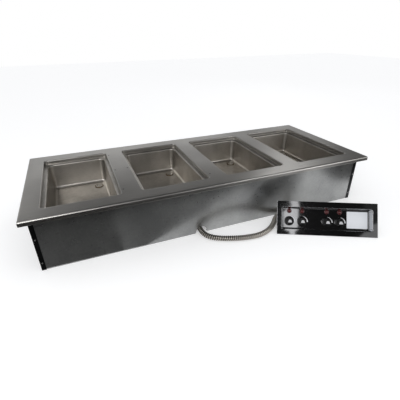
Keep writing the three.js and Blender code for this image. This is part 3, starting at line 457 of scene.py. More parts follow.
def sheetMetal(name, s):
    material, tree = blankMaterial(name)
    objectPlace = addNode(tree, "TexCoord").outputs["Object"]
    stretched = addNode(tree, "Mapping", {"Scale": s["grainScale"]}, {"Vector": objectPlace})
    grain = addNode(tree, "TexNoise", {"Scale": 1.0, "Detail": 3.0, "Roughness": 0.6}, {"Vector": stretched})
    cloud = addNode(tree, "TexNoise", {"Scale": s["cloudScale"], "Detail": 2.0}, {"Vector": objectPlace})
    share = addNode(tree, "Math", {"operation": "MULTIPLY_ADD", 1: s["grainShare"]}, {0: grain, 2: cloud})
    low, high = [edge * (1 + s["grainShare"]) for edge in noiseSpan]
    tone = addNode(tree, "MapRange", {"From Min": low, "From Max": high}, {"Value": share})
    colour = addNode(tree, "Mix", twoTones(s), {0: tone})
    if "marks" in s:
        colour = addNode(tree, "Mix", {"data_type": "RGBA", 7: linear(s["marks"]["colour"])}, {
            0: markShare(tree, objectPlace, s["marks"]), 6: colour.outputs[2],
        })
    rough = addNode(tree, "MapRange", {"To Min": s["rough"][0], "To Max": s["rough"][1]}, {"Value": grain})
    waves = addNode(tree, "TexNoise", {"Scale": s["waveScale"], "Detail": 1.0}, {"Vector": objectPlace})
    slow = addNode(tree, "Bump", {"Distance": s["waveHeight"]}, {"Height": waves})
    fine = addNode(tree, "Bump", {"Distance": s["grainHeight"]}, {"Height": grain, "Normal": slow})
    shader = addNode(tree, "BsdfPrincipled", {"Metallic": 1.0}, {
        "Base Color": colour.outputs[2], "Roughness": rough, "Normal": fine,
    })
    return finishMaterial(material, tree, shader)


# Stainless deck sheet, rolled and belt-brushed along its length: a soft grey with fine long streaks, and the
# dark studs' ends, in millimetres, that show between the wells
brushedStainless = sheetMetal("brushedStainlessSheet", {
    "dark": "#a6a4a1", "light": "#c4c2be", "grainScale": (6, 900, 900), "grainShare": 0.6, "cloudScale": 3.0,
    "rough": (0.24, 0.4), "grainHeight": 0.00001, "waveScale": 4.0, "waveHeight": 0.0012, "marks": {
        "radius": 0.0035, "fade": 0.2, "colour": "#3a3531", "places": [
            (-353, 7), (-410, -212), (-410, 3), (-25, -210), (46, 247), (435, 255), (-413, 209), (-429, 237),
        ],
    },
})

# Stainless well, deep-drawn and then satin-rubbed: a browner grey, with marks round the walls
drawnStainless = sheetMetal("drawnStainlessWell", {
    "dark": "#a39f99", "light": "#c6c2bc", "grainScale": (60, 60, 700), "grainShare": 0.6, "cloudScale": 9.0,
    "rough": (0.30, 0.46), "grainHeight": 0.00001, "waveScale": 14.0, "waveHeight": 0.0008,
})


# The deck: its outline's section runs over the rounded edge, down the rim and back under the sheet, and each
# opening's section runs over its edge, down the collar and back

deckSettings = {
    "size": (1.582, 0.656), "corner": 0.004, "edge": 0.007, "sheet": 0.0015, "rim": 0.020,
    "rimReturn": 0.014, "rimFold": 0.002, "opening": (0.298, 0.502), "openingCorner": 0.016,
    "openingEdge": 0.004, "collar": 0.017, "pitch": 0.381, "border": 0.016, "steps": 10, "edgeSteps": 8,
    "foldSteps": 3, "collarSteps": 6,
}


def wellMiddle(number):  # where a well's middle lies along the deck
    return (number - sum(wellNumbers) / len(wellNumbers)) * deckSettings["pitch"]


def makeDeck(s):
    e, sheet, rim, fold = s["edge"], s["sheet"], s["rim"], s["rimFold"]
    webs = [-s["pitch"], 0, s["pitch"]]
    half = [s["size"][0] / 2 - s["border"], s["size"][1] / 2 - s["border"]]
    section = [
        (s["border"], 0), *rounded((e, -e), e, 90, 180, s["edgeSteps"]),
        *rounded((fold, fold - rim), fold, 180, 270, s["foldSteps"]),
        (s["rimReturn"], -rim), (s["rimReturn"], sheet - rim), (fold, sheet - rim),
        *rounded((e, -e), e - sheet, 180, 90, s["edgeSteps"]), (s["border"], -sheet),
    ]
    outline = aroundOutline(s["size"], s["corner"], section, s["steps"], leastCorner=sheet, xMarks=webs)
    outline[0], outline[-1] = [
        cornerRing((-half[0], -half[1]), half, z, s["steps"], xMarks=webs) for z in (0, -sheet)
    ]
    parts = [gridPart(outline)]
    e = s["openingEdge"]
    collar = [
        *rounded((-e, -e), e, 90, 0, s["collarSteps"]), (0, -s["collar"]), (-sheet, -s["collar"]),
        *rounded((-e, -e), e - sheet, 0, 90, s["collarSteps"]),
    ]
    xEdges = [-half[0], *webs, half[0]]
    for number in wellNumbers:
        corners = [(xEdges[number - 1], -half[1]), (xEdges[number], half[1])]
        rings = aroundOutline(s["opening"], s["openingCorner"], collar, s["steps"], (wellMiddle(number), 0))
        top, bottom = [cornerRing(*corners, z, s["steps"]) for z in (0, -sheet)]
        parts.append(gridPart(np.concatenate([top[None], rings, bottom[None]])))
    makePiece("deck_sheet", parts, brushedStainless, standsFor=("top_deck",), flat=True)
    print("deck made")


makeDeck(deckSettings)


# The drawn wells: one section from the floor up the tapered wall, over a shoulder rolled as a quarter of an
# ellipse to the rim, and back down its outside. The drain's hole is a circle that looks at the floor's ring,
# so the sheet stays one skin.

wellSettings = {
    "rimTop": -0.0173, "depth": 0.142, "sheet": 0.0012, "rimWidth": 0.012, "rimCorner": 0.028,
    "ledge": 0.008, "shoulder": 0.008, "taper": 0.006, "corner": 0.041, "floorEdge": 0.013,
    "drain": (0.085, 0.168), "hole": 0.017, "steps": 12, "rollSteps": 9, "floorSteps": 7,
}


def makeWells(s):
    r, f, sheet = s["shoulder"], s["floorEdge"], s["sheet"]
    floorAt = s["ledge"] + r + s["taper"] + f
    floorCentre = (floorAt, f - s["depth"])
    turn = rounded((0, 0), 1, 0, 90, s["rollSteps"])
    roll = [((s["ledge"] + r) * x, s["rimTop"] - r + r * z) for x, z in turn]
    under = [((s["ledge"] + r - sheet) * x, s["rimTop"] - r + (r - sheet) * z) for x, z in turn]
    upper = [*rounded(floorCentre, f, 270, 180, s["floorSteps"]), *roll]
    section = [
        *upper, (-s["rimWidth"], s["rimTop"]), (-s["rimWidth"], s["rimTop"] - sheet), *under[::-1],
        *rounded(floorCentre, f + sheet, 180, 270, s["floorSteps"]),
    ]
    rim = [len(upper), len(upper) + 1]
    rimSize = [side + 2 * s["rimWidth"] for side in deckSettings["opening"]]
    for number in wellNumbers:
        centre = (wellMiddle(number), 0)
        rings = aroundOutline(deckSettings["opening"], s["corner"], section, s["steps"], centre)
        rings[rim] = roundedRings(
            *rimSize, s["rimCorner"], [section[i][1] for i in rim], s["steps"], centre,
        )
        drain = (centre[0] + s["drain"][0], s["drain"][1])
        inner = towardsRing(rings[0], drain, s["hole"], -s["depth"])
        outer = towardsRing(rings[-1], drain, s["hole"], -s["depth"] - sheet)
        rings = np.concatenate([inner[None], rings, outer[None], inner[None]])
        makePiece(
            f"drawn_well_{number}", [gridPart(rings)], drawnStainless,
            standsFor=(f"well_pan_{number}",), flat=True,
        )
    print("wells made")


makeWells(wellSettings)

# Other finishes of the unit

# Galvanised sheet, hot dipped: grey zinc with soft crystals and pale stains
galvanisedSheet = sheetMetal("galvanisedSheet", {
    "dark": "#8f9090", "light": "#b1b2b1", "grainScale": (90, 90, 90), "grainShare": 0.3, "cloudScale": 5.0,
    "rough": (0.24, 0.34), "grainHeight": 0.000004, "waveScale": 3.0, "waveHeight": 0.0025,
})

# Steel for the ends: a dull blue black, painted shade that shows as the dark strip at each corner
endSheetPaintedShade = sheetMetal("endSteelPaintedShade", {
    "dark": "#222324", "light": "#343536", "grainScale": (120, 120, 120), "grainShare": 0.5,
    "cloudScale": 8.0, "rough": (0.35, 0.5), "grainHeight": 0.000008, "waveScale": 4.0,
    "waveHeight": 0.0012,
})

# Brass, turned: its yellow dulled to a grey brown by heat and water
turnedBrass = sheetMetal("turnedBrass", {
    "dark": "#4c4234", "light": "#7a6a50", "grainScale": (300, 300, 900), "grainShare": 0.7,
    "cloudScale": 60.0, "rough": (0.28, 0.45), "grainHeight": 0.00001, "waveScale": 90.0,
    "waveHeight": 0.0001,
})


# Drains: a turned flange and tail with a thread below, and a strainer of one sector turned round

drainSettings = {
    "bore": 0.013, "tail": 0.0167, "tailEnd": -0.240, "flange": 0.022, "flangeSeat": -0.1417,
    "flangeTop": -0.1393, "seat": (0.0173, -0.1406), "flangeRound": 0.0014, "threadFrom": -0.238,
    "threadTurns": 26, "threadPitch": 0.0023, "threadDepth": 0.0009, "strainer": 0.017,
    "strainerTop": -0.1393, "strainerSheet": 0.001, "holes": 8, "hole": 0.0024, "holeCircle": 0.0095,
    "hub": 0.0045, "segments": 64, "sideSteps": 6,
}


def drainBody(s):
    thread = []
    for turn in range(s["threadTurns"]):
        z = s["threadFrom"] + turn * s["threadPitch"]
        thread += [(s["tail"], z), (s["tail"] - s["threadDepth"], z + s["threadPitch"] / 2)]
    r = s["flangeRound"]
    profile = [
        (s["bore"], s["tailEnd"]), (s["tail"] - s["threadDepth"], s["tailEnd"]), *thread,
        (s["tail"], s["threadFrom"] + s["threadTurns"] * s["threadPitch"]),
        (s["tail"], s["flangeSeat"]), (s["flange"], s["flangeSeat"]),
        *rounded((s["flange"] - r, s["flangeTop"] - r), r, 0, 90, steps=5),
        (s["seat"][0], s["flangeTop"]), s["seat"], (s["bore"], s["seat"][1]),
    ]
    return lathe(closedProfile(profile), s["segments"])


# One sector of the strainer: its outline is an outer arc, a side, an inner arc and the other side, with the
# hole's points looking out at it; the sectors are turned round and their edges merged
def strainerPlate(s):
    share = math.pi / s["holes"]
    per = s["segments"] // s["holes"]
    swing = np.linspace(-share, share, per + 1)
    side = np.linspace(s["strainer"], s["hub"], s["sideSteps"] + 1)[1:-1]
    radius = np.concatenate([np.full(per + 1, s["strainer"]), side, np.full(per + 1, s["hub"]), side[::-1]])
    angle = np.concatenate([swing, np.full(len(side), share), swing[::-1], np.full(len(side), -share)])
    outline = circle(radius, 0, angle)
    hole = towardsRing(outline, (s["holeCircle"], 0), s["hole"], 0)
    low, high = s["strainerTop"] - s["strainerSheet"], s["strainerTop"]
    lift = np.array([high, high, low, low])[:, None, None] * np.array([0, 0, 1])
    sector = gridPart(np.stack([outline, hole, hole, outline]) + lift)
    parts = [place(sector, np.array(Matrix.Rotation(2 * share * i, 3, "Z"))) for i in range(s["holes"])]
    around = fullTurn(s["segments"]) + share
    parts.append(gridPart(np.stack([circle(s["strainer"], z, around) for z in (high, low)])))
    return parts + [capPart(circle(s["hub"], z, around)) for z in (high, low)]


def makeDrains(s):
    x, y = wellSettings["drain"]
    for number in wellNumbers:
        centre = (wellMiddle(number) + x, y, 0)
        makePiece(
            f"drain_flange_{number}", [place(drainBody(s), origin=centre)], turnedBrass,
            standsFor=(f"drain_body_{number}",),
        )
        plate = [place(part, origin=centre) for part in strainerPlate(s)]
        makePiece(
            f"strainer_{number}", plate, drawnStainless,
            standsFor=(f"drain_strainer_{number}",),
        )
    print("drains made")


makeDrains(drainSettings)


# Rivets and screws, set on a face along a direction

# Shares of a head's radius or height
headShares = {"wall": 0.25, "socket": 0.5, "socketFloor": 0.45, "round": 0.5}


def headPart(radius, height, sides=24):  # a low dome on a short wall
    wall = headShares["wall"]
    dome = [(radius * math.cos(a), height * (wall + (1 - wall) * math.sin(a))) for a in arc(5)]
    return lathe([(0, 0), (radius, 0), *dome[:-1], (0, height)], sides)


def screwPart(radius, height, sides=30):  # a pan head with a six-sided socket
    socket, bottom = radius * headShares["socket"], height * headShares["socketFloor"]
    bend = height * headShares["round"]
    profile = [
        (0, bottom), (socket, bottom), (socket, height),
        *rounded((radius - bend, bend), bend, 90, 0), (radius, 0), (0, 0),
    ]
    points, faces = lathe(profile, sides)
    rings = points.reshape(len(profile), sides, 3)
    rings[1:3, :, :2] *= sixSided(fullTurn(sides))[None, :, None]  # the socket's sides
    return rings.reshape(-1, 3), faces


def facing(direction):  # the turn that points a head's axis along a direction
    return np.array(Vector((0, 0, 1)).rotation_difference(Vector(direction)).to_matrix())


rivetSettings = {
    "radius": 0.0032, "height": 0.0013, "face": 0.288, "across": 0.7585, "heights": (0.033, 0.140, 0.218),
}


def makeRivets(s):
    parts = []
    for side in (-1, 1):
        head = place(headPart(s["radius"], s["height"]), facing((0, side, 0)))
        for end in (-1, 1):
            for height in s["heights"]:
                parts.append(place(head, origin=(end * s["across"], side * s["face"], floorHeight + height)))
    makePiece("housing_rivets", parts, galvanisedSheet)
    print("rivets made")


makeRivets(rivetSettings)


# The conduit's fittings: threaded nipple, six-sided shoulder, body and clamping collar, as radii on an axis

# Zinc, die cast and left bare: a soft grey skin with a faint pebble
castZinc = sheetMetal("castZinc", {
    "dark": "#7f8181", "light": "#a5a7a6", "grainScale": (500, 500, 500), "grainShare": 0.5,
    "cloudScale": 70.0, "rough": (0.35, 0.5), "grainHeight": 0.00003, "waveScale": 120.0,
    "waveHeight": 0.0001,
})

fittingSettings = {
    "nipple": 0.0108, "nippleLength": 0.010, "threadPitch": 0.0018, "threadDepth": 0.0007, "seat": 0.0003,
    "shoulder": 0.0150, "shoulderEnd": 0.0062, "body": 0.0128, "collar": 0.0146, "bead": 0.0139,
    "beadWidth": 0.0016, "bore": 0.0083, "bevel": 0.0004, "sides": 48, "bodySteps": 14, "boreSteps": 24,
    "straight": {"collarLength": 0.015, "bend": None, "reach": 0.028},
    "elbow": {"collarLength": 0.0085, "bend": 0.018, "reach": 0.032},
    "clamp": {"boss": 0.0042, "bossTop": 0.0172, "sides": 32, "screw": 0.0032, "head": 0.0022},
}


def fittingAxis(along, kind):  # straight along Y, or on round a quarter bend to -X
    if kind["bend"] is None:
        return np.stack([0 * along, along, 0 * along], -1)
    first = kind["reach"] - kind["bend"]
    angle = np.clip((along - first) / kind["bend"], 0, rightAngle)
    after = np.clip(along - first - rightAngle * kind["bend"], 0, None)
    x = kind["bend"] * (np.cos(angle) - 1) - after
    return np.stack([x, np.minimum(along, first) + kind["bend"] * np.sin(angle), 0 * along], -1)


def fittingLength(kind):  # the reach, or two straight arms and the quarter bend between them
    reach, bend = kind["reach"], kind["bend"]
    return reach if bend is None else 2 * (reach - bend) + rightAngle * bend


def makeFitting(name, kind, s, turn, origin, standsFor):
    b, seat, shoulder, end, body = [s[k] for k in ("bevel", "seat", "shoulder", "shoulderEnd", "body")]
    collar, bead, width, root = s["collar"], s["bead"], s["beadWidth"], s["nipple"] - s["threadDepth"]
    length = fittingLength(kind)
    collarFrom = length - kind["collarLength"]
    middle = collarFrom + kind["collarLength"] / 2
    thread = []
    for i in range(int((s["nippleLength"] - seat) / s["threadPitch"])):
        start = i * s["threadPitch"] - s["nippleLength"]
        thread += [(start, root), (start + s["threadPitch"] / 2, s["nipple"])]
    stations = [
        *thread, (seat - b, root), (seat, shoulder - b), (seat + b, shoulder),
        (end - b, shoulder), (end, shoulder - b), (end + b, body),
        *[(at, body) for at in np.linspace(end + 3 * b, collarFrom - 3 * b, s["bodySteps"])],
        (collarFrom, bead), (collarFrom + width, collar), (middle - width, collar),
        (middle - width / 2, bead), (middle + width / 2, bead), (middle + width, collar),
        (length - b, collar), (length, collar - b),
    ]
    along, radius = np.array(stations).T
    onShoulder = ((along >= seat) & (along <= end))[:, None]
    spread = radius[:, None] * np.where(onShoulder, sixSided(fullTurn(s["sides"])), 1)
    outer = tubeRings(fittingAxis(along, kind), spread, s["sides"])
    boreAlong = np.linspace(length, -s["nippleLength"], s["boreSteps"])[::-1]
    bore = tubeRings(fittingAxis(boreAlong, kind), s["bore"], s["sides"])[::-1]
    parts = [gridPart(np.concatenate([outer, bore, outer[:1]]))]
    # A boss on the collar carries the clamping screw
    c = s["clamp"]
    at = fittingAxis(np.array([middle]), kind)[0]
    boss = lathe([
        (0, body), (c["boss"], body), *rounded((c["boss"] - b, c["bossTop"] - b), b, 0, 90),
        (0, c["bossTop"]),
    ], c["sides"])
    parts.append(place(boss, origin=at))
    parts.append(place(screwPart(c["screw"], c["head"]), origin=at + [0, 0, c["bossTop"] - b]))
    parts = [place(part, turn, origin) for part in parts]
    makePiece(name, parts, castZinc, standsFor=standsFor, sharpAngle=32)


def makeFittings(s):
    c = conduitSettings
    outwards = np.array(Matrix.Rotation(math.pi, 3, "Z"))
    start = (c["start"][0], c["start"][1] + s["straight"]["reach"] + c["gap"], c["start"][2] + floorHeight)
    makeFitting("straight_fitting", s["straight"], s, outwards, start, ("conduit_connector",))
    backwards = panelTurn @ np.array(Matrix.Rotation(-rightAngle, 3, "X"))
    origin = panelOrigin + panelTurn @ np.array([*c["elbow"], panelPlace["boxBack"]])
    makeFitting("elbow_fitting", s["elbow"], s, backwards, origin, ("conduit_elbow",))
    print("fittings made")


makeFittings(fittingSettings)


# The control panel

# Stainless bezel, polished to a mirror: near black where it reflects the dark room, with a few fine hairlines
polishedStainless = sheetMetal("polishedStainless", {
    "dark": "#b4b4b6", "light": "#c2c3c5", "grainScale": (30, 900, 900), "grainShare": 0.2,
    "cloudScale": 12.0, "rough": (0.05, 0.1), "grainHeight": 0.000001, "waveScale": 9.0,
    "waveHeight": 0.0006,
})

bezelSettings = {
    "size": (0.438, 0.151), "corner": 0.0025, "edge": 0.0008, "hem": 0.006, "hemReturn": 0.007,
    "sheet": 0.0012, "recessCentre": (0.219, 0.075), "recess": (0.394, 0.098), "recessCorner": 0.007,
    "recessEdge": 0.002, "recessDepth": 0.030, "recessTaper": 0.005, "recessFoot": 0.0008, "border": 0.0077,
    "knobs": (0.060, 0.117, 0.227, 0.284), "knobLine": 0.062, "lampLine": 0.108, "bushing": 0.0052,
    "lamp": 0.0079, "steps": 8,
}


def makeBezel(s):
    sheet, edge, r, foot, taper = [s[k] for k in ("sheet", "edge", "recessEdge", "recessFoot", "recessTaper")]
    low, back = -s["recessDepth"], -s["recessDepth"] - sheet
    halves = [s["recess"][k] / 2 - s["border"] for k in (0, 1)]
    corners = [[s["recessCentre"][k] + side * halves[k] for k in (0, 1)] for side in (-1, 1)]
    between = [(x + after) / 2 for x, after in zip(s["knobs"], s["knobs"][1:])]
    row = (s["knobLine"] + s["lampLine"]) / 2
    marks = {"xMarks": between, "yMarks": [row]}
    outside = aroundOutline(s["size"], s["corner"], [
        *rounded((edge, -edge), edge, 90, 180, steps=3), (0, -s["hem"]), (s["hemReturn"], -s["hem"]),
        (s["hemReturn"], sheet - s["hem"]), (sheet, sheet - s["hem"]), (sheet, -sheet),
    ], s["steps"], (s["size"][0] / 2, s["size"][1] / 2), sheet / 2, **marks)
    # Up out of the recess: round the face's foot, along the leaning wall and over its rounded edge
    upwards = [
        (taper + foot, low), (taper, low + foot / 3), (taper - foot / 4, low + foot),
        *rounded((-r, -r), r, 0, 90, steps=5),
    ]
    downwards = [(-r - sheet, -sheet), (-sheet, -r - sheet), (taper - sheet, back)]
    corner = s["recessCorner"]
    inside, behind = [aroundOutline(
        s["recess"], corner, section, s["steps"], s["recessCentre"], corner - foot, **marks,
    ) for section in (upwards, downwards)]
    top, bottom = [cornerRing(*corners, z, s["steps"], **marks)[None] for z in (low, back)]
    parts = [gridPart(np.concatenate([top, inside, outside, behind, bottom]))]
    xEdges = [corners[0][0], *between, corners[1][0]]
    yEdges = [corners[0][1], row, corners[1][1]]
    holes = [[(x, s["knobLine"], s["bushing"]), (x, s["lampLine"], s["lamp"])] for x in s["knobs"]]
    parts += piercedCells(xEdges, yEdges, holes, back, low, s["steps"])
    makePiece(
        "recessed_bezel", onPanel(parts), polishedStainless, standsFor=("control_bezel",),
        flat=True,
    )
    print("bezel made")


makeBezel(bezelSettings)


# Moulded plastics: a flat colour, and a faint pebble from the tool that shades it, roughens it and lifts it
def mouldedPlastic(name, s):
    material, tree = blankMaterial(name)
    objectPlace = addNode(tree, "TexCoord").outputs["Object"]
    pebble = addNode(tree, "TexNoise", {"Scale": s["pebbleScale"], "Detail": 3.0}, {"Vector": objectPlace})
    rough = addNode(tree, "MapRange", {"To Min": s["rough"][0], "To Max": s["rough"][1]}, {"Value": pebble})
    colour = addNode(tree, "Mix", twoTones(s), {0: pebble})
    bump = addNode(tree, "Bump", {"Distance": s["pebbleHeight"]}, {"Height": pebble})
    shader = addNode(tree, "BsdfPrincipled", {
        "IOR": s["ior"], "Transmission Weight": s.get("clear", 0.0),
        "Subsurface Weight": s.get("scatter", 0.0), "Subsurface Radius": (0.004, 0.002, 0.002),
    }, {"Base Color": colour.outputs[2], "Roughness": rough, "Normal": bump})
    return finishMaterial(material, tree, shader)


# Phenolic, pressed in a hot mould: deep black with a soft shine
pressedPhenolic = mouldedPlastic("pressedPhenolic", {
    "dark": "#070708", "light": "#101011", "pebbleScale": 900.0, "pebbleHeight": 0.000015,
    "rough": (0.2, 0.3), "ior": 1.5,
})

# Styrene, moulded white: the pale satin insert let into each grip
mouldedStyrene = mouldedPlastic("whiteMouldedStyrene", {
    "dark": "#b2b2b4", "light": "#c6c6c8", "pebbleScale": 1600.0, "pebbleHeight": 0.000008,
    "rough": (0.3, 0.4), "ior": 1.59,
})


# The knobs: a turned skirt and hub with a socket for the shaft, and a grip whose outline narrows to its tip

knobSettings = {
    "base": -0.0275, "skirt": 0.0215, "skirtHeight": 0.0035, "skirtRound": 0.0014, "skirtBevel": 0.0003,
    "hub": (0.0185, 0.0165), "hubHeight": 0.010, "hubFoot": 0.0008, "footTurn": (270, 190),
    "hubRound": 0.0015, "hubTurn": (8, 90), "hollow": (0.012, 0.0025), "socket": (0.0033, 0.013),
    "grip": [(-0.013, -0.0155), (0.013, -0.0155), (0.007, 0.0155), (-0.007, 0.0155)],
    "gripCorner": 0.0034, "gripFoot": 0.009, "gripDraft": 0.0011, "gripRound": 0.0011, "gripTop": 0.0197,
    "insert": [(-0.0094, -0.0078), (0.0094, -0.0078), (0.0046, 0.0040), (-0.0046, 0.0040)],
    "insertCorner": 0.0016, "insertTop": 0.020, "insertSeat": 0.0006, "insertBevel": 0.0002, "sides": 72,
}


def makeKnob(number, x, s):
    r, q, foot, edge = s["skirtRound"], s["hubRound"], s["hubFoot"], s["skirtBevel"]
    wide, narrow = s["hub"]
    lean = (wide - narrow) / (s["hubHeight"] - s["skirtHeight"])
    hub = [
        (s["hollow"][0], 0), (s["skirt"] - edge, 0), (s["skirt"], edge),
        *rounded((s["skirt"] - r, s["skirtHeight"] - r), r, 0, 90, steps=5),
        *rounded((wide + foot, s["skirtHeight"] + foot), foot, *s["footTurn"], steps=3),
        *rounded((narrow - q + lean * q, s["hubHeight"] - q), q, *s["hubTurn"], steps=5),
        (s["socket"][0], s["hubHeight"]), (s["socket"][0], s["hollow"][1]), s["hollow"],
    ]
    # The grip: shrinking with its height by the draft, then over its rounded top edge
    turn = arc(4)
    shrink = np.concatenate([[0], s["gripDraft"] + s["gripRound"] * (1 - np.cos(turn))])
    height = np.concatenate([[s["gripFoot"]], s["gripTop"] - s["gripRound"] * (1 - np.sin(turn))])
    walls = polygonRings(s["grip"], s["gripCorner"], shrink, height)
    socket, roof = [towardsRing(walls[0], (0, 0), s["socket"][0], z) for z in (s["gripFoot"], s["socket"][1])]
    grip = [gridPart(np.concatenate([roof[None], socket[None], walls])), capPart(walls[-1]), capPart(roof)]
    # The insert, let into the top of the grip
    bevel = s["insertBevel"]
    plate = polygonRings(s["insert"], s["insertCorner"], [0, 0, bevel], [
        s["gripTop"] - s["insertSeat"], s["insertTop"] - bevel, s["insertTop"],
    ])
    insert = [gridPart(plate), capPart(plate[0]), capPart(plate[-1])]
    centre = (x, bezelSettings["knobLine"], s["base"])
    body = f"knob_{number}"
    parts = onPanel([lathe(closedProfile(hub), s["sides"]), *grip], centre)
    makePiece(
        f"grip_knob_{number}", parts, pressedPhenolic, body,
        standsFor=(f"control_knob_{number}",), flat=True,
    )
    parts = onPanel(insert, centre)
    makePiece(f"knob_insert_{number}", parts, mouldedStyrene, body, flat=True)


# A thin white wedge beside each knob, a painted highlight of its rim at the upper right, that widens
# clockwise round the skirt
rimHighlightSettings = {
    "from": -5, "to": 80, "inner": 0.0222, "wide": 0.0053, "narrow": 0.0004, "height": 0.0001,
    "lift": 0.00003, "steps": 28,
}

# Flat white for the painted rim highlight: matt, slightly uneven
rimHighlightWhite = mouldedPlastic("paintedRimHighlightWhite", {
    "dark": "#dfe1e4", "light": "#f2f3f5", "pebbleScale": 2200.0, "pebbleHeight": 0.00001,
    "rough": (0.5, 0.65), "ior": 1.5,
})


def makeRimHighlight(number, x, s):
    share = np.linspace(0, 1, s["steps"] + 1)
    angle = np.radians(s["from"] + (s["to"] - s["from"]) * share)[:, None]
    outer = s["inner"] + s["narrow"] + (s["wide"] - s["narrow"]) * (1 - share)
    inner = 0 * outer + s["inner"]
    radius = np.stack([inner, inner, outer, outer], -1)
    rings = circle(radius, np.array([0, s["height"], s["height"], 0]) + s["lift"], angle)
    centre = (x, bezelSettings["knobLine"], -bezelSettings["recessDepth"])
    parts = onPanel([gridPart(rings), capPart(rings[0]), capPart(rings[-1])], centre)
    # each wedge is a painted highlight of the knob's rim
    makePiece(f"painted_rim_highlight_{number}", parts, rimHighlightWhite)


# Pilot lights: a domed lens over a body that stands in the panel's hole, and a collar round it

# Polycarbonate lens, moulded clear red: deep at the rim and pink where the light comes back out of it
redLens = mouldedPlastic("clearRedPolycarbonate", {
    "dark": "#471a1b", "light": "#6b2e2e", "pebbleScale": 400.0, "pebbleHeight": 0.00003, "rough": (0.1, 0.2),
    "ior": 1.58, "clear": 0.15, "scatter": 0.1,
})

# Nylon collar, moulded dark red
redCollar = mouldedPlastic("darkRedNylon", {
    "dark": "#3a0b0c", "light": "#561416", "pebbleScale": 900.0, "pebbleHeight": 0.00002,
    "rough": (0.25, 0.38), "ior": 1.53,
})

lampSettings = {
    "front": -0.0297, "bodyEnd": -0.0512, "body": 0.0076, "lens": 0.0068, "lensSeat": (0.0012, 0.0006),
    "lensFoot": 0.0014, "dome": 0.0046, "collar": (0.0070, 0.0106), "collarHeight": 0.0022, "sides": 48,
}


def makeLamp(number, x, s):
    front, foot = s["front"], s["front"] + s["lensFoot"]
    turn = arc(8)
    dome = list(zip(s["lens"] * np.cos(turn), foot + s["dome"] * np.sin(turn)))
    lens = [
        (0, s["bodyEnd"]), (s["body"], s["bodyEnd"]), (s["body"], front - s["lensSeat"][0]),
        (s["lens"], front - s["lensSeat"][1]), *dome[:-1], (0, foot + s["dome"]),
    ]
    inner, outer = s["collar"]
    r = (outer - inner) / 2
    collar = [
        (inner, front), (outer, front), (outer, front + s["collarHeight"] - r),
        *rounded((inner + r, front + s["collarHeight"] - r), r, 0, 180, steps=8)[1:],
    ]
    centre = (x, bezelSettings["lampLine"], 0)
    makePiece(
        f"lamp_lens_{number}", onPanel([lathe(lens, s["sides"])], centre), redLens,
        standsFor=(f"pilot_light_{number}",),
    )
    collar = lathe(closedProfile(collar), s["sides"])
    makePiece(f"lamp_collar_{number}", onPanel([collar], centre), redCollar)


for number, x in enumerate(bezelSettings["knobs"], 1):
    makeKnob(number, x, knobSettings)
    # the painted highlight beside each knob's rim
    makeRimHighlight(number, x, rimHighlightSettings)
    makeLamp(number, x, lampSettings)
print("knobs, dials and lamps made")


# The frame's own pieces, each with its finish

# Mineral wool, spun and pressed into a board: matt yellow with coarse fibres
spunWool = mouldedPlastic("spunMineralWool", {
    "dark": "#a8945a", "light": "#d6c684", "pebbleScale": 260.0, "pebbleHeight": 0.0012, "rough": (0.9, 1.0),
    "ior": 1.45,
})

# Nickel alloy sheath, drawn and annealed: a dull grey-brown that has been hot
annealedSheath = sheetMetal("annealedSheath", {
    "dark": "#3c3733", "light": "#6b635c", "grainScale": (250, 250, 250), "grainShare": 0.5,
    "cloudScale": 40.0, "rough": (0.45, 0.6), "grainHeight": 0.00001, "waveScale": 60.0,
    "waveHeight": 0.0001,
})

# Melamine switch cases and terminal strip, moulded brown-black
mouldedMelamine = mouldedPlastic("mouldedMelamine", {
    "dark": "#231c18", "light": "#332b26", "pebbleScale": 700.0, "pebbleHeight": 0.00003,
    "rough": (0.45, 0.6), "ior": 1.6,
})

# Free-cutting steel shafts, turned and nickel plated: bright with fine rings
platedSteel = sheetMetal("nickelPlatedSteel", {
    "dark": "#8b8a86", "light": "#b4b2ad", "grainScale": (400, 400, 400), "grainShare": 0.4,
    "cloudScale": 90.0, "rough": (0.18, 0.3), "grainHeight": 0.000004, "waveScale": 90.0,
    "waveHeight": 0.00005,
})

# Polyester label, cast film with a satin face: white, left bare
bareLabel = mouldedPlastic("satinPolyesterLabel", {
    "dark": "#dcdfe4", "light": "#e9ebef", "pebbleScale": 1500.0, "pebbleHeight": 0.00001,
    "rough": (0.42, 0.55), "ior": 1.57,
})

nodeFinishes = [
    (galvanisedSheet, [
        "housing_front", "housing_back", "bottom_pan", "element_cover", "junction_box", "junction_cover",
        "control_box", "connector_locknut", "elbow_locknut",
    ]),
    # the ends carry the painted shade of the dark corner strips
    (endSheetPaintedShade, ["housing_left_end", "housing_right_end"]),
    (spunWool, ["insulation_blanket"]),
    (annealedSheath, ["heating_element"]),
    (mouldedMelamine, ["terminal_block", "infinite_switch"]),
    (platedSteel, ["switch_shaft"]),
    (turnedBrass, ["drain_locknut"]),
    (bareLabel, ["label_plate"]),
]


def finishNodes(finishes):  # a numbered piece takes the finish of its plain name
    for name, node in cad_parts.items():
        plain = name.rstrip("0123456789").rstrip("_")
        for material, names in finishes:
            if plain in names:
                for materialSlot in node.material_slots:
                    materialSlot.material = material


finishNodes(nodeFinishes)
print("frame's own pieces finished")


# The floor and the light


def seenDirectly(tree):  # one for camera, mirror and see-through rays, and none for the light on the object
    path = addNode(tree, "LightPath")
    share = path.outputs["Is Camera Ray"]
    for name in ("Is Glossy Ray", "Is Transmission Ray"):
        share = addNode(tree, "Math", {"operation": "MAXIMUM"}, {0: share, 1: path.outputs[name]})
    return share


floorSettings = {"reach": 9.0, "colour": "#ececec", "glow": 0.3}


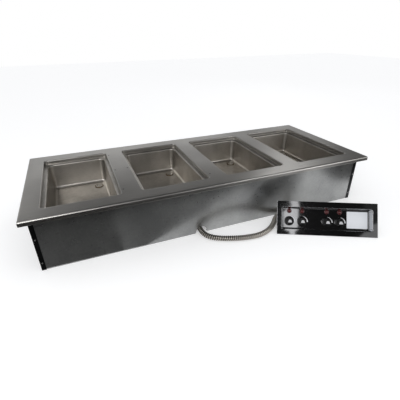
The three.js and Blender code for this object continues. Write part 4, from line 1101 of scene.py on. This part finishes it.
def makeFloor(s):
    material, tree = blankMaterial("palePaperFloor")
    base = addNode(tree, "BsdfPrincipled", {
        "Base Color": linear(s["colour"]), "Roughness": 0.9, "Specular IOR Level": 0.1,
    })
    glow = addNode(tree, "Emission", {"Strength": s["glow"]})
    both = addNode(tree, "AddShader", links={0: base, 1: glow})
    mix = addNode(tree, "MixShader", links={0: seenDirectly(tree), 1: base, 2: both})
    r = s["reach"]
    corners = [(x, y, floorHeight) for x, y in ((-r, -r), (r, -r), (r, r), (-r, r))]
    flatSheet("floor", corners, finishMaterial(material, tree, mix))


worldSettings = {"room": ("#f4f5f7", 0.85), "backdrop": ("#ffffff", 1.0)}


def makeWorld(s):
    world = bpy.data.worlds.new("studio")
    bpy.context.scene.world = world
    world.use_nodes = True
    tree = world.node_tree
    tree.nodes.clear()
    room, backdrop = [
        addNode(tree, "Background", {"Color": linear(s[k][0]), "Strength": s[k][1]})
        for k in ("room", "backdrop")
    ]
    mix = addNode(tree, "MixShader", links={0: seenDirectly(tree), 1: room, 2: backdrop})
    addNode(tree, "OutputWorld", links={"Surface": mix})


# Cloths, cards and pale reflectors stood round the object, as a photographer of metal does; only mirror rays
# see them. Each has its brightness as a share of white, the axis that it is square to and its place along it,
# and its corners along the other two axes. Two corners stand for the rectangle between them.
clothSettings = {
    "ceilingCloth": (0.02, "z", 2.6, [(-0.95, -2.6), (3.2, 3.5)]),
    "ceilingClothLeft": (0.05, "z", 2.6, [(-3.0, 0.9), (-0.95, 3.5)]),
    "ceilingClothFront": (0.02, "y", -2.6, [(-0.45, 1.7), (3.2, 2.6)]),
    "backCloth": (0.08, "y", 3.5, [(-1.3, 1.35), (3.2, 2.6)]),
    "backClothRight": (0.65, "y", 3.5, [(1.9, -0.24), (3.2, 1.35)]),
    "backClothLeft": (0.52, "y", 3.5, [(-3.0, -0.24), (-1.3, 2.6)]),
    "leftCloth": (0.4, "x", -3.0, [(-0.6, -0.24), (3.5, -0.24), (3.5, 2.6), (-0.6, 1.6)]),
    "rightCloth": (0.15, "x", 3.2, [(-1.9, -0.24), (2.2, 2.6)]),
    "rightClothBack": (0.35, "x", 3.2, [(2.2, -0.24), (3.5, 2.6)]),
    "frontCloth": (0.1, "y", -2.6, [(-0.45, -0.24), (1.2, 1.7)]),
    "frontClothLow": (0.02, "y", -2.6, [(-3.0, -0.24), (-0.45, 0.75)]),
    "gapReflector": (0.9, "y", -1.16, [(0.05, 0.02), (0.21, 0.60)]),
    "frontReflector": (3.0, "y", -2.59, [(1.2, -0.24), (2.6, 2.59)]),
    "cardLeft": (0.01, "y", -1.15, [
        (-0.15, 0.02), (0.093, 0.02), (0.093, 0.222), (0.066, 0.23), (0.08, 0.40), (0.125, 0.42),
        (0.125, 0.60), (-0.15, 0.60),
    ]),
    "cardMiddle": (0.01, "y", -1.15, [
        (0.134, 0.02), (0.47, 0.02), (0.60, 0.14), (0.60, 0.60), (0.190, 0.60), (0.190, 0.40),
        (0.173, 0.23), (0.134, 0.20),
    ]),
    "cardRight": (0.03, "y", -1.15, [(0.60, 0.14), (0.90, 0.47)]),
    "cardRightLow": (0.22, "y", -1.15, [(0.47, 0.02), (0.90, 0.02), (0.90, 0.14), (0.60, 0.14)]),
    "floorClothLeft": (0.11, "z", -0.247, [(-1.9, -0.62), (-0.45, -0.29)]),
    "floorClothNear": (0.22, "z", -0.247, [
        (-0.45, -0.62), (0.30, -0.62), (0.18, -0.55), (0.05, -0.50), (-0.05, -0.43), (-0.35, -0.29),
        (-0.45, -0.29),
    ]),
    "floorClothFar": (0.0, "z", -0.247, [
        (-1.9, -2.2), (0.55, -2.2), (0.55, -0.74), (0.31, -0.64), (0.30, -0.64), (0.30, -0.62), (-1.9, -0.62),
    ]),
    "floorClothPanel": (0.2, "z", -0.247, [(0.31, -0.64), (0.55, -0.74), (0.55, -0.66), (0.31, -0.52)]),
    "floorClothMiddle": (0.35, "z", -0.247, [
        (0.55, -2.2), (1.1, -2.2), (1.1, -0.85), (0.9, -0.70), (0.55, -0.70),
    ]),
    "floorClothRight": (0.03, "z", -0.247, [
        (1.1, -2.2), (2.2, -2.2), (2.2, 0.5), (1.0, -0.40), (0.86, -0.50), (0.9, -0.70), (1.1, -0.85),
    ]),
}


def makeCloths(cloths):
    for name, (tone, axis, at, corners) in cloths.items():
        if len(corners) == 2:
            (x0, y0), (x1, y1) = corners
            corners = [(x0, y0), (x1, y0), (x1, y1), (x0, y1)]
        points = np.insert(np.array(corners, float), "xyz".index(axis), at, axis=1)
        material, tree = blankMaterial("studioCloth")
        glow = addNode(tree, "Emission", {"Strength": tone})
        cloth = flatSheet(name, points.tolist(), finishMaterial(material, tree, glow))
        for ray in ("camera", "diffuse", "transmission", "volume_scatter", "shadow"):
            setattr(cloth, f"visible_{ray}", False)


studioLamps = [
    {"name": "keyLamp", "place": (-1.5, -2.4, 1.5), "aim": (0, 0, -0.1), "size": (1.6, 1.0), "power": 26},
    {"name": "backLamp", "place": (2.5, 2.5, 2.2), "aim": (0.2, -0.2, 0), "size": (0.6, 0.6), "power": 5},
]


def makeLamps(lamps):
    for s in lamps:
        data = bpy.data.lights.new(s["name"], "AREA")
        data.shape = "RECTANGLE"
        data.size, data.size_y = s["size"]
        data.energy = s["power"]
        lamp = addObject(s["name"], data)
        lamp.location = s["place"]
        lamp.rotation_euler = (Vector(s["aim"]) - Vector(s["place"])).to_track_quat("-Z", "Y").to_euler()


makeFloor(floorSettings)
makeWorld(worldSettings)
makeCloths(clothSettings)
makeLamps(studioLamps)
bpy.context.scene.view_settings.view_transform = "Standard"
print("floor and light made")
